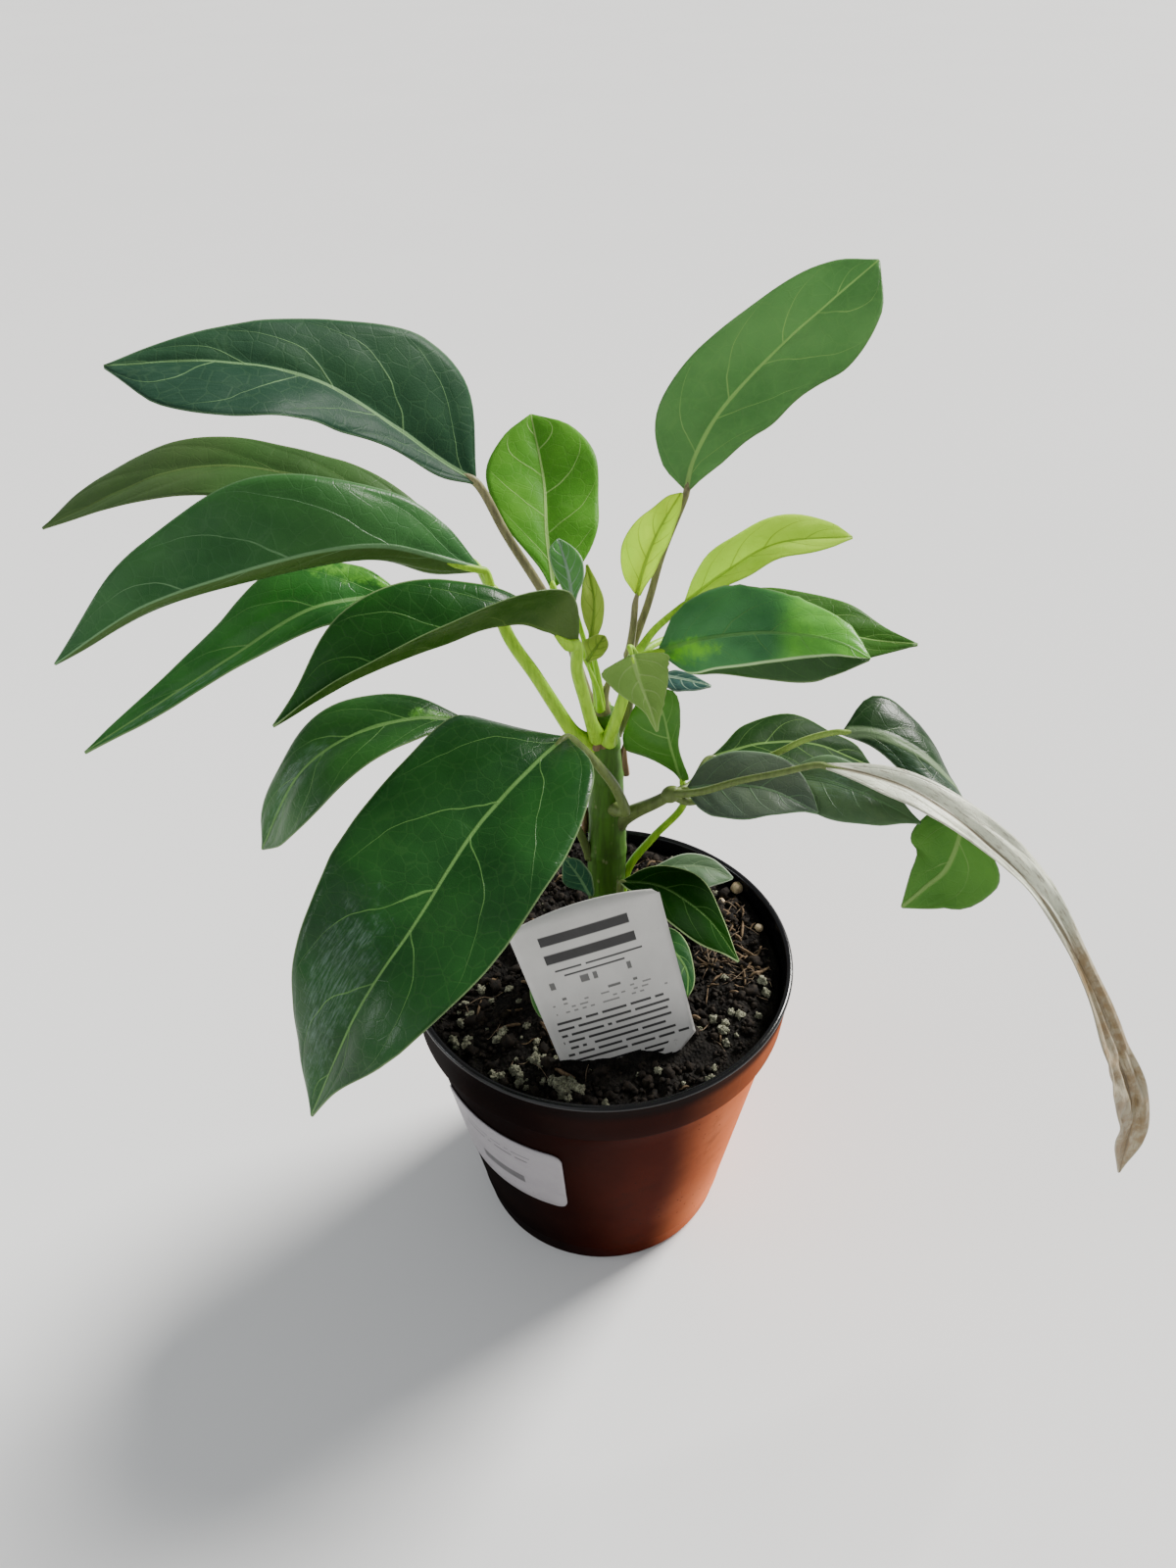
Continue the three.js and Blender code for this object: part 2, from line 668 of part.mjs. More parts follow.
// Pale granules stand out of the soil's top, thickest at the front left.
function addGranules(solid) {
  const draw = seededDraw(GRANULES.seed);
  let joined = solid;
  for (let i = 0; i < GRANULES.count; i += 1) {
    const reach = POT.shoulderRadius * GRANULES.reach;
    const turn = THREE.MathUtils.degToRad(i % 3 === 2 ? 360 * draw() : 200 + 80 * draw());
    const away = reach * Math.sqrt(0.3 + 0.6 * draw());
    const size = mix(GRANULES.smallest, GRANULES.largest, draw());
    const x = away * Math.cos(turn);
    const y = away * Math.sin(turn);
    const granule = new THREE.IcosahedronGeometry(size, 0)
      .rotateZ(turn)
      .translate(x, y, soilHeight(x, y) + size * GRANULES.sunk);
    joined = joined.add(toSolid(granule));
  }
  return joined;
}

// ---------------------------------------------------------------- the plant label

function labelMatrix() {
  const rad = THREE.MathUtils.degToRad;
  return new THREE.Matrix4()
    .makeTranslation(...LABEL.foot)
    .multiply(new THREE.Matrix4().makeRotationZ(rad(LABEL.turn)))
    .multiply(new THREE.Matrix4().makeRotationX(rad(90 - LABEL.leanBack)))
    .multiply(new THREE.Matrix4().makeRotationZ(rad(LABEL.tiltLeft)));
}

function labelOutline(grow) {
  const half = LABEL.width / 2 + grow;
  const topHalf = half + LABEL.topSpread;
  const [spikeHalf, spikeLength] = LABEL.spike;
  const outline = new THREE.Shape();
  outline.moveTo(0, -spikeLength - grow);
  outline.lineTo(spikeHalf / 2 + grow, -spikeLength + 6);
  outline.lineTo(spikeHalf + grow, -2);
  outline.lineTo(half, LABEL.cornerCut);
  outline.lineTo(topHalf, LABEL.height - 3);
  outline.quadraticCurveTo(topHalf - 0.2, LABEL.height - 0.5, topHalf - 3, LABEL.height);
  outline.quadraticCurveTo(0, LABEL.height + 2 * LABEL.archRise, -topHalf + 3, LABEL.height);
  outline.quadraticCurveTo(-topHalf + 0.2, LABEL.height - 0.5, -topHalf, LABEL.height - 3);
  outline.lineTo(-half, LABEL.cornerCut);
  outline.lineTo(-spikeHalf - grow, -2);
  outline.lineTo(-spikeHalf / 2 - grow, -spikeLength + 6);
  outline.closePath();
  return outline;
}

function labelGeometry(grow) {
  const thick = LABEL.thick + 2 * grow;
  return new THREE.ExtrudeGeometry(labelOutline(grow), { depth: thick, bevelEnabled: false, curveSegments: 5 })
    .translate(0, 0, -thick / 2)
    .applyMatrix4(labelMatrix());
}

// A thin label stuck on the pot under its collar, bent round the wall.
function stickerGeometry() {
  const top = [];
  const bottom = [];
  const middle = (STICKER.top + STICKER.bottom) / 2;
  const halfHeight = (STICKER.top - STICKER.bottom) / 2;
  const rows = 4;
  for (let c = 0; c <= STICKER.columns; c += 1) {
    const across = -1 + (2 * c) / STICKER.columns;
    const turn = THREE.MathUtils.degToRad(STICKER.middleAngle + STICKER.halfAngle * across);
    const fromEnd = (1 - Math.abs(across)) * STICKER.columns * 0.5 * STICKER.corner;
    const drop = fromEnd < STICKER.corner
      ? STICKER.corner - Math.sqrt(STICKER.corner ** 2 - (STICKER.corner - fromEnd) ** 2) : 0;
    for (let r = 0; r <= rows; r += 1) {
      const z = middle + (halfHeight - drop) * (1 - (2 * r) / rows);
      const inner = potOuterRadius(z) + GAP;
      const outer = inner + STICKER.thick;
      top.push(new THREE.Vector3(outer * Math.cos(turn), outer * Math.sin(turn), z));
      bottom.push(new THREE.Vector3(inner * Math.cos(turn), inner * Math.sin(turn), z));
    }
  }
  return closedSheet(top, bottom, STICKER.columns, rows + 1);
}

// ---------------------------------------------------------------- the assembly

const plant = new THREE.Group();

function addPiece(name, geometry, color, roughness = 0.6) {
  const material = new THREE.MeshStandardMaterial({ color, roughness, metalness: 0 });
  const mesh = new THREE.Mesh(geometry, material);
  mesh.name = name;
  plant.add(mesh);
}

const stemGrown = stemSolid(GAP);

function makeSoil() {
  const spikeHole = toSolid(labelGeometry(GAP));
  const solid = addGranules(toSolid(soilGeometry())).subtract(stemGrown).subtract(spikeHole);
  return toGeometry(solid);
}

// The end of a small stalk stands GAP short of the leaflet's base.
function branchSolid(start, branch) {
  const midrib = curveThrough(BLADES[branch.to].midrib);
  const base = midrib.getPointAt(0);
  const heading = midrib.getTangentAt(0);
  const before = base.clone().addScaledVector(heading, -BRANCH_STRAIGHT).toArray();
  const end = base.addScaledVector(heading, -GAP).toArray();
  return stalkSolid([start, ...branch.via, before, end], BRANCH_RADIUS, 6 + 2 * branch.via.length);
}

function makeJointedStalk(stalk) {
  const joint = stalk.route[stalk.route.length - 1];
  let solid = stalkSolid(stalk.route, stalk.radius, 8);
  const knob = new THREE.IcosahedronGeometry(stalk.joint, 1).translate(...joint);
  solid = solid.add(toSolid(knob));
  for (const branch of stalk.branches) solid = solid.add(branchSolid(joint, branch));
  return toGeometry(solid.subtract(stemGrown));
}

function makeShoot() {
  const { route, radius } = SHOOT.sheath;
  let solid = stalkSolid(route, radius, 4);
  for (const leaf of SHOOT.leaves) solid = solid.add(leafSolid(leaf, SHOOT.segments));
  return toGeometry(solid.subtract(stemGrown));
}

addPiece('pot', makePot(), 0x7a3b26, 0.45);
addPiece('soil', makeSoil(), 0x1b1511, 0.95);
addPiece('plant_label', labelGeometry(0), 0xe8e8ea, 0.4);
addPiece('pot_sticker', stickerGeometry(), 0xd9d6dc, 0.5);
addPiece('main_stem', toGeometry(stemSolid(0)), 0x3d5220, 0.55);
addPiece('young_shoot', makeShoot(), SHOOT.color);
for (const [name, stalk] of Object.entries(STALKS)) {
  addPiece(name, makeJointedStalk(stalk), stalk.color);
}
for (const [name, blade] of Object.entries(BLADES)) {
  const segments = blade.segments ?? 10;
  const geometry = blade.stalk
    ? toGeometry(leafSolid(blade, segments).subtract(stemGrown))
    : bladeGeometry(blade, segments);
  addPiece(name, geometry, blade.color, 0.4);
}

export default plant;
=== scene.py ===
import json
import math
import random
from dataclasses import dataclass

import bpy
import bmesh
from mathutils import Matrix, Vector, noise


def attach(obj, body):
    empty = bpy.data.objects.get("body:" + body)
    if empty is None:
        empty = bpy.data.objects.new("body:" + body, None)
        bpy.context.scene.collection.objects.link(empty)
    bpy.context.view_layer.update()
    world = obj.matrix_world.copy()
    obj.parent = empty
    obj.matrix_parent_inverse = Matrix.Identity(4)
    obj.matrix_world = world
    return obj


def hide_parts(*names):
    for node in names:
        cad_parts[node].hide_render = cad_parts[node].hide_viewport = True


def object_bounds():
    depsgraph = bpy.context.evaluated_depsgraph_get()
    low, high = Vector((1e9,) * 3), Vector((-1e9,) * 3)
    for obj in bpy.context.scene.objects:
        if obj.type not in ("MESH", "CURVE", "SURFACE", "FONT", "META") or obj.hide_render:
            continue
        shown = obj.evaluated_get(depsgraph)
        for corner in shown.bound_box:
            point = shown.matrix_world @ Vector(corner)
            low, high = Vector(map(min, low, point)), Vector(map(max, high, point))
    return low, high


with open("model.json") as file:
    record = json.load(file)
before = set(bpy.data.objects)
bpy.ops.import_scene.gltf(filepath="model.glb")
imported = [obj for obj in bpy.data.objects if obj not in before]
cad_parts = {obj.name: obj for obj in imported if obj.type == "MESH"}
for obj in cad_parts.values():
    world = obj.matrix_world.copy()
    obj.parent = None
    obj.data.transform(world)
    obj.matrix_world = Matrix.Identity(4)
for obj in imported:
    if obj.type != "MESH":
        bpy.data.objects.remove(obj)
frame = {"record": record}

MM = 0.001
CAD_BOX = [list(corner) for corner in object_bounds()]

# ---------------------------------------------------------------- sizes of pot, soil and labels

POT_HEIGHT = 116
RIM_RADIUS = 65
RIM_ROUND = 1.15
COLLAR_HEIGHT = 18.5
COLLAR_FOOT_RADIUS = 63.2
SHOULDER_RADIUS = 61
BASE_RADIUS = 45
SHOULDER = POT_HEIGHT - COLLAR_HEIGHT
WALL = 1.5
FLOOR = 2
POT_SIDES = 144
DRAIN_HOLES = 6
DRAIN_RADIUS = 4
DRAIN_RING = 34
DRAIN_SIDES = 24

SOIL_MIDDLE = 109
SOIL_RISE = 0.065
SOIL_EDGE_RADIUS = 61.2
SOIL_REACH = 58.5
SOIL_RINGS = 66
SOIL_SIDES = 168

LABEL = {
    "foot": (11.5, -38.5, 100), "width": 44, "top_spread": 2, "height": 62, "arch_rise": 3.5, "corner_cut": 9,
    "thick": 0.8, "lean_back": 15, "tilt_left": 14.5, "turn": 5, "spike": (9, 30), "columns": 25,
}
STICKER = {"middle": -128, "half": 25, "bottom": 43, "top": 81, "corner": 4, "off_wall": 0.3, "thick": 0.6,
           "columns": 60, "rows": 10}

STEM_ROUTE = [(2, 12, 88), (2, 12, 125), (2.5, 12, 160), (2, 12, 185), (1, 12, 206)]
STEM_RADII = [5.6, 5.8, 6.4, 5.4, 4.6]
STEM_NODES = [0.40, 0.54, 0.69, 0.80, 0.90, 0.955]
# Dry stipules: the way each faces in degrees, its foot, its top and how far the top leans out.
STIPULES = [(10, 181, 196, 1.2), (165, 158, 170, 1.0), (250, 196, 206, 0.9), (30, 200, 209, 0.8)]
SHEATH_ROUTE = [(1, 12, 205), (1.5, 12, 211), (3, 11.5, 217)]

# ---------------------------------------------------------------- the leaves

# Where along a blade, from base to tip, its half-widths are given.
WIDTH_STATIONS = [0, 0.1, 0.28, 0.5, 0.72, 0.9, 1]
TIP_HALF_WIDTH = 0.4


@dataclass
class Leaf:
    """One leaf or leaflet. midrib holds points from base to tip, left and right the half-widths
    beside it, face the ways that the upper face looks from base to tip, and fold the degrees
    that the left and the right half fold up from flat. Only a leaf that grows from the stem or
    the shoot has a stalk of its own. A patch is its place across (-1 left edge to 1 right edge)
    and along (0 base to 1 tip), and its size."""

    midrib: list
    left: list
    right: list
    face: list
    fold: tuple
    skin: str
    stalk: list = None
    stalk_radius: tuple = (1.4, 0.9)
    stalk_skin: str = "khaki"
    tint: tuple = (1, 1, 1)  # factors on the skin's flesh, partly the leaf's own tone and partly painted light and shade
    vein: tuple = None  # the veins' colour, where it isn't the skin's
    through: float = None  # the part of the light that passes through, in the same way
    gloss: float = None  # the upper face's roughness, in the same way
    sheen: float = 0.2  # how strongly the upper face mirrors
    pairs: float = 4.6  # side veins in a half
    veined: float = 0.8  # how clearly the veins show
    edged: float = 0.45  # how clearly the pale margin shows
    rib: float = 1.0  # the midrib's breadth
    haze: float = 0.0  # grey-green haze towards the tip
    lit: tuple = (0, 0, 0)  # a painted patch of light shining through
    lit_colour: tuple = (0.14, 0.42, 0.04)
    bloom: tuple = (0, 0, 0)  # a painted highlight, a silvery gleam
    left_half: tuple = None  # another colour left of the midrib, painted light and shade for how that half is lit
    end: tuple = (0.3, 0.24, 0.16)  # the tip's colour: its own withered colour on the twisted leaflet, painted light beyond a painted shadow on the left rear leaflet
    end_from: float = 2.0  # where along the blade that colour starts, and past 1 it is left out
    streaked: float = 0.0  # streaks of the veins' colour
    turned: float = 0.0  # 1 where the right edge turns under, with painted shade on the turned strip
    teeth: str = ""  # the edge that has small teeth
    crumple: float = 0.0
    under: str = ""  # a skin of the lower face's own
    under_base: tuple = None  # the lower face's colour at its base, paler olive with a painted highlight on it


LEAVES = {
    "leaf_upper_left": Leaf(
        [(-31, 2, 284), (-38, 1, 289), (-49, -3, 300), (-65, -10, 314), (-84, -18, 321), (-106, -26, 323)],
        [5, 8, 15, 21, 17], [18, 24, 16, 9, 4], [(0.2, -0.5, 0.8), (-0.1, -0.4, 0.9)], (13, 19), "blue_green",
        [(-2, 15, 204), (-5, 15, 216), (-9, 11, 234), (-16, 6, 252), (-24, 3, 269)], (1.8, 1.1), "brown",
        haze=0.08, tint=(0.66, 0.57, 0.48), left_half=(0.011, 0.040, 0.021), sheen=0.08, gloss=0.5,
        vein=(0.16, 0.30, 0.12)),
    # Its darker flesh paints the shadow that falls across its base half, and its lighter tip half the light
    # beyond it.
    "leaflet_left_rear": Leaf(
        [(-37, 26, 250), (-54, 32, 259), (-78, 36, 269), (-114, 36, 274), (-159, 30, 259)],
        [8, 16, 17, 11, 4], [5, 10, 11, 12, 8], [(0.1, -0.25, 0.95), (-0.1, -0.25, 0.95)], (8, 7), "olive",
        tint=(0.5, 0.76, 0.85), end=(0.058, 0.112, 0.030), end_from=0.5, veined=0.4),
    "leaflet_left_middle": Leaf(
        [(-32, 6, 257), (-43, 0, 264), (-54, -6, 270), (-68, -14, 273), (-92, -22, 270), (-112, -28, 265),
         (-134, -34, 253)],
        [6, 5, 5, 3, 2], [9, 16, 21, 14, 5], [(0.1, -0.6, 0.8), (0, -0.75, 0.65), (-0.2, -0.8, 0.55)],
        (-70, 12), "blue_green", tint=(1.1, 1.1, 0.52), left_half=(0.055, 0.115, 0.022)),
    "leaflet_left_front": Leaf(
        [(-53, 0, 253), (-62, -4, 254), (-75, -12, 255), (-96, -22, 246), (-134, -34, 226)],
        [6, 7, 4, 4, 2], [10, 15, 11, 6, 3], [(-0.2, -0.6, 0.8), (-0.3, -0.3, 0.9)], (5, 11), "deep",
        lit=(0.75, 0.05, 0.2), bloom=(-0.4, 0.7, 0.28), tint=(1.0, 1.3, 0.8)),
    "leaf_folded": Leaf(
        [(-6, -4, 239), (-13, -14, 250), (-22, -22, 257), (-38, -32, 257), (-59, -42, 253), (-78, -50, 245)],
        [7.5, 14, 11, 9, 5], [3, 8, 17, 16, 5], [(-0.2, -0.1, 1), (-0.2, -0.4, 0.9)], (60, 35), "deep",
        [(-0.5, 8, 200), (-2, 4, 207), (-4, 1, 218), (-6, -2, 230)], (2.1, 1.7), "lime",
        under="olive_deep", under_base=(0.095, 0.165, 0.04), tint=(0.42, 0.65, 0.33), sheen=0.14),
    "leaf_lower_left": Leaf(
        [(-35, -11, 218), (-49, -17, 224), (-66, -25, 224), (-80, -31, 216), (-93, -36, 194)],
        [4, 9, 14, 15, 8], [4, 11, 12, 8, 6], [(-0.3, -0.3, 0.9), (-0.6, -0.5, 0.6)], (7, 6), "deep",
        [(-3, 10, 150), (-11, 6, 175), (-26, -2, 203)], (1.5, 0.9),
        lit=(0.1, 0.05, 0.22), bloom=(0.1, 0.72, 0.24), tint=(0.97, 0.97, 0.73)),
    "leaf_front": Leaf(
        [(-9, -18, 218), (-16, -30, 219), (-31, -48, 212), (-46, -72, 200), (-58, -86, 188), (-74, -96, 156)],
        [17, 26, 24, 18, 5], [24, 27, 28, 22, 12], [(-0.2, -0.4, 0.9), (-0.3, -0.8, 0.5), (-0.6, -0.5, 0.6)],
        (9, 8), "deep", [(5, 8, 172), (8, 1.5, 176), (5, -1, 187), (-1, -8, 202), (-5, -13, 211)], (2, 1.1),
        bloom=(0.4, 0.76, 0.24), tint=(0.56, 0.72, 0.56)),
    "leaf_top_rear": Leaf(
        [(-13, 24, 242), (-15, 38, 252), (-16, 54, 261), (-20, 72, 275)],
        [3.5, 11, 17, 16.5, 9], [9, 15, 16, 16.5, 10.5], [(0.2, -0.5, 0.85), (0, -0.5, 0.9)], (10, 9),
        "fresh",
        [(1.5, 17, 205), (-2, 19, 217), (-9, 21, 231)], (1.7, 1), "lime",
        tint=(0.8, 0.95, 0.56), pairs=4, sheen=0.03, vein=(0.45, 0.66, 0.22)),
    "leaflet_right_top": Leaf(
        [(24, 14, 276), (26, 20, 281), (33, 30, 290), (51, 40, 306), (74, 45, 325)],
        [10, 18, 17, 14, 8], [9, 16, 19, 21, 14], [(-0.3, -0.2, 0.9), (0, -0.5, 0.9)], (10, 8), "mid",
        pairs=4.2, through=0.5, tint=(2.3, 1.7, 2.4), vein=(0.42, 0.68, 0.20), veined=1.0, rib=1.1),
    "leaflet_right_pale": Leaf(
        [(11, 8, 248), (13, 9, 256), (16, 9, 265), (22, 7, 278)],
        [5, 8, 8, 5, 3], [2, 4, 5, 5, 3], [(-0.2, -0.4, 0.9), (-0.3, -0.6, 0.8)], (13, 11), "yellow",
        through=0.6, tint=(1.65, 1.8, 0.45)),
    "leaflet_right_yellow": Leaf(
        [(25, 15, 241), (35, 13, 251), (48, 9, 262), (67, 3, 267)],
        [6, 10, 10, 9, 5], [3, 6, 8, 7, 4], [(0, -0.3, 0.95), (-0.1, -0.3, 0.95)], (8, 10), "yellow",
        through=0.6, tint=(1.55, 1.65, 0.9)),
    "leaflet_right_front": Leaf(
        [(17, -1, 235), (29, -6, 242), (46, -12, 247), (61, -18, 248), (70, -22, 245)],
        [8, 14, 13, 10, 5], [8, 10, 12, 12, 8], [(0, -0.65, 0.75), (0.3, -0.25, 0.9)], (9, -30), "deep",
        lit=(0.25, 0.02, 0.3), lit_colour=(0.20, 0.62, 0.03), teeth="left", tint=(3.1, 2.5, 3.4),
        through=0.35,
        veined=0.45, end=(0.17, 0.54, 0.06), end_from=0.52, turned=1.0),
    "leaflet_right_rear": Leaf(
        [(25, 18, 229), (43, 18, 231), (62, 16, 232), (79, 12, 230), (91, 8, 231)],
        [5, 12, 12, 10, 4], [4, 10, 12, 10, 4], [(-0.1, -0.6, 0.8), (0.3, -0.3, 0.9)], (4, 3), "mid",
        tint=(0.55, 0.6, 0.32), sheen=0.1),
    "leaflet_right_low": Leaf(
        [(16, 1, 226), (23, -3, 227), (31, -8, 228)],
        [1, 3, 3, 2, 1], [2, 4, 5, 4, 2], [(0.2, -0.3, 0.9), (0.2, -0.4, 0.85)], (5, 5), "slate"),
    "leaflet_right_hanging": Leaf(
        [(9, -9, 239), (11, -12, 233), (14, -15, 226), (16, -18, 220)],
        [9, 8, 5, 2, 1], [9, 8.5, 7, 3.5, 1.2], [(0.1, 0.8, -0.5), (0.1, 0.8, -0.5)], (2, 8), "olive_light",
        teeth="right", through=0.5, under="pale_olive"),
    "leaf_behind_stem": Leaf(
        [(26, 11, 181), (22, 6, 197), (19, 6, 210), (16, 9, 217)],
        [3, 13, 15, 12, 8], [4, 3, 3, 5, 6], [(-0.5, -0.7, 0.45), (-0.3, -0.8, 0.6)], (7, 15), "mid",
        [(7, 15, 128), (10, 16, 140), (18, 14, 155), (27, 13, 169)], (1.6, 1.1), "lime",
        tint=(1.2, 1.16, 0.66)),
    "leaflet_low_left": Leaf(
        [(27, 3, 183), (37, 1, 186), (51, -4, 188), (65, -10, 184)],
        [7, 11, 12, 10, 5], [8, 12, 12, 8, 2], [(0, -0.4, 1), (0.1, -0.5, 0.9)], (7, 8), "blue_green",
        edged=0.9, tint=(2.6, 1.0, 1.35), sheen=0.1, veined=0.3),
    "leaflet_low_rear": Leaf(
        [(36, 18, 184), (52.5, 25, 184), (68.5, 29, 181), (90.5, 31, 170)],
        [4, 10, 12, 8, 6], [6, 12, 14, 11, 5], [(-0.2, -0.1, 1), (0.2, -0.3, 0.9)], (4, 5), "mid",
        tint=(0.2, 0.22, 0.2), sheen=0.04, gloss=0.5, edged=0.8, veined=0.45),
    "leaflet_low_curled": Leaf(
        [(73, 6, 202), (82, 5, 202), (93, 3, 198), (103, 0, 191), (111, -2, 180), (108, -8, 160),
         (102, -10, 154), (95, -12, 147)],
        [14, 11, 9, 15, 6], [4, 9, 10, 18, 8],
        [(0, -0.6, 0.8), (0.3, -0.5, 0.8), (0.9, 0, 0.4), (0.6, 0.5, -0.5), (0.5, 0.6, -0.5)], (-12, -6),
        "silver",
        under="fresh", rib=2.6, bloom=(0.6, 0.36, 0.34), through=0.4, tint=(0.2, 0.36, 0.14)),
    "leaflet_low_twisted": Leaf(
        [(65, -12, 203), (76, -15, 202), (87, -19, 200), (97, -24, 196), (109, -29, 188), (121, -34, 178),
         (132, -38, 164), (145, -44, 143), (156, -47, 121), (168, -48, 95), (174, -48, 58)],
        [5, 7, 4.5, 5.5, 6], [6, 3, 3, 10, 5.5],
        [(0, -0.4, 0.9), (0.3, -0.5, 0.8), (0.3, -0.6, 0.7), (0.1, -0.95, 0.25)], (16, 20), "withered",
        crumple=0.7, end_from=0.36, end=(0.25, 0.165, 0.070), vein=(0.17, 0.12, 0.07), tint=(2.0, 2.05, 1.85),
        streaked=0.7, through=0.15, sheen=0.25, gloss=0.4),
    "leaflet_low_middle": Leaf(
        [(57.5, 7, 185), (68.5, 3, 186), (82.5, -3, 184), (96.5, -9, 179)],
        [5, 9, 8, 6, 2], [7, 12, 12, 9, 3], [(-0.1, -0.5, 0.85), (0.2, -0.4, 0.9)], (4, 7), "blue_green",
        bloom=(0.0, 0.4, 0.3), edged=0.7, tint=(3.3, 1.6, 1.45), sheen=0.2, veined=0.35),
    "basal_leaf_front": Leaf(
        [(7.3, 0, 147.5), (19.4, -6.5, 151), (33.4, -15.5, 146), (43.4, -22.5, 134)],
        [5, 9, 10, 5, 2], [4, 7.5, 13.5, 11, 4], [(0.1, -0.3, 0.9), (0.6, -0.3, 0.7)], (5, 14), "deep",
        [(5, 8, 129), (6.5, 3, 137)], (1.7, 1.1),
        edged=1.0, gloss=0.6, sheen=0.02, tint=(0.12, 0.25, 0.03), through=0.05, veined=0.16),
    "basal_leaf_rear": Leaf(
        [(14, 14, 136), (24, 16, 139), (36, 16, 139), (45, 14, 136)],
        [2, 3, 5, 4, 2], [3, 6, 9, 9, 4], [(0, -0.1, 1), (0.1, -0.4, 0.85)], (8, 10), "silver",
        [(5.5, 11, 121), (10, 12.5, 129)], edged=1.0, gloss=0.5, sheen=0.1, tint=(0.78, 0.85, 0.6),
        veined=0.4),
    "basal_leaf_left": Leaf(
        [(-3, 1, 141), (-6, -1, 150), (-11, -3, 161)],
        [2, 6, 6, 4, 2], [2, 3, 4, 4, 3], [(-0.4, -0.75, 0.45), (-0.2, -0.7, 0.6)], (5, 5), "blue_green",
        [(-1, 8, 124), (-2.5, 4, 132)], (1.3, 0.9), edged=1.0),
    "basal_leaf_right": Leaf(
        [(12, 2, 123), (22, -6, 124), (28, -14, 121), (28, -22, 117)],
        [3, 7, 6, 3, 2], [3, 6, 8, 7, 3], [(0.2, -0.2, 0.95), (0.4, -0.4, 0.8)], (5, 4), "deep",
        [(5, 9, 114), (8, 5.5, 119)], edged=1.0, gloss=0.5, sheen=0.06),
    "basal_leaf_hanging": Leaf(
        [(-7, 0, 121), (-14, -11, 122), (-18, -21, 119), (-17, -30, 114)],
        [3, 8, 10, 9, 5], [2, 5, 6, 5, 3], [(-0.3, -0.4, 0.85), (-0.3, -0.6, 0.75)], (8, 13), "mid",
        [(-1, 9, 113), (-4, 4.5, 118)], edged=1.0),
}

# Three young leaves on the shoot that grows from the stem's top.
YOUNG_LEAVES = {
    "young_leaf_rear": Leaf(
        [(-7, 10, 245), (-8, 14, 251), (-11, 22, 258)],
        [2, 3, 4, 4, 3], [2, 4, 5, 4, 2], [(-0.2, -0.7, 0.6), (0, -0.6, 0.8)], (8, 16), "slate",
        [(0, 12.5, 208), (-2, 12, 222), (-5, 10.5, 236)], (1.2, 0.7), "lime", pairs=5, tint=(2.4, 2.9, 0.8)),
    "young_leaf_middle": Leaf(
        [(-2, 8, 233), (-1, 13, 243), (-3, 20, 251)],
        [1, 3, 4, 3, 1], [2, 3, 3, 2, 1], [(-0.1, -0.75, 0.65), (0, -0.75, 0.65)], (20, 20), "yellow",
        [(1, 11.5, 208), (0, 9, 220)], (1.2, 0.7), "lime", pairs=4),
    "young_leaf_front": Leaf(
        [(-3, 5.5, 228), (-1, 5, 232), (2, 7, 235.5)],
        [1, 2, 4, 3, 2], [1, 2, 3, 3, 2], [(-0.1, -0.7, 0.7), (0, -0.7, 0.7)], (20, 15), "yellow",
        [(0.5, 10.5, 208), (-0.5, 8, 217)], (1.1, 0.7), "lime", pairs=4),
}


@dataclass
class Stalk:
    """A jointed stalk: the main stalk's points from the stem to its joint, its radius at both
    ends, the joint's radius, and from the joint one small stalk's points to each leaflet's base."""

    route: list
    radius: tuple
    joint: float
    skin: str
    branches: dict
    pale_branch: str = ""


STALKS = {
    "stalk_left": Stalk(
        [(-2, 11, 195), (-7.5, 7, 202), (-12.5, 4.5, 213), (-18, 3, 225), (-25, 3, 238), (-29, 6, 250)],
        (2.5, 1.7), 2.3, "lime", {
            "leaflet_left_rear": [(-32, 14, 251)],
            "leaflet_left_middle": [],
            "leaflet_left_front": [(-38, 2, 252)],
        }),
    "stalk_right": Stalk(
        [(3, 7, 199), (4, 4, 205), (6, 1, 214), (9, 1, 226), (10, 2, 231)], (2.1, 1.6), 2, "lime", {
            "leaflet_right_yellow": [(16, 9, 236)],
            "leaflet_right_front": [],
            "leaflet_right_rear": [(16, 11, 230)],
            "leaflet_right_low": [],
            "leaflet_right_hanging": [(9.5, -4, 237)],
        }),
    "stalk_right_rear": Stalk(
        [(5, 14, 197), (8.5, 14, 204), (9, 13, 214), (9, 12, 226)], (1.8, 1.3), 1.7, "brown", {
            "leaflet_right_pale": [(10, 9, 238)],
            "leaflet_right_top": [(14, 15, 240), (18, 16, 256)],
        }),
    "stalk_low_right": Stalk(
        [(6, 11, 165), (11, 7.5, 171), (17, 3, 178), (22, 1, 183)], (3, 1.8), 2.7, "khaki", {
            "leaflet_low_left": [],
            "leaflet_low_rear": [(29, 9, 181)],
            "leaflet_low_curled": [(30, 6, 179.5), (39, 9, 184), (54, 9, 192), (62.5, 8, 198)],
            "leaflet_low_twisted": [(30, -6, 189.3), (40.5, -9, 195.5), (52, -11, 200)],
            "leaflet_low_middle": [(27, 1.5, 179.5), (35, 1.5, 181), (46, 1, 184)],
        }, "leaflet_low_curled"),
}
BRANCH_RADIUS = (1.3, 0.9)
BRANCH_STRAIGHT = 2

# ---------------------------------------------------------------- routes, widths and meshes


def mix(a, b, share):
    return a + (b - a) * share


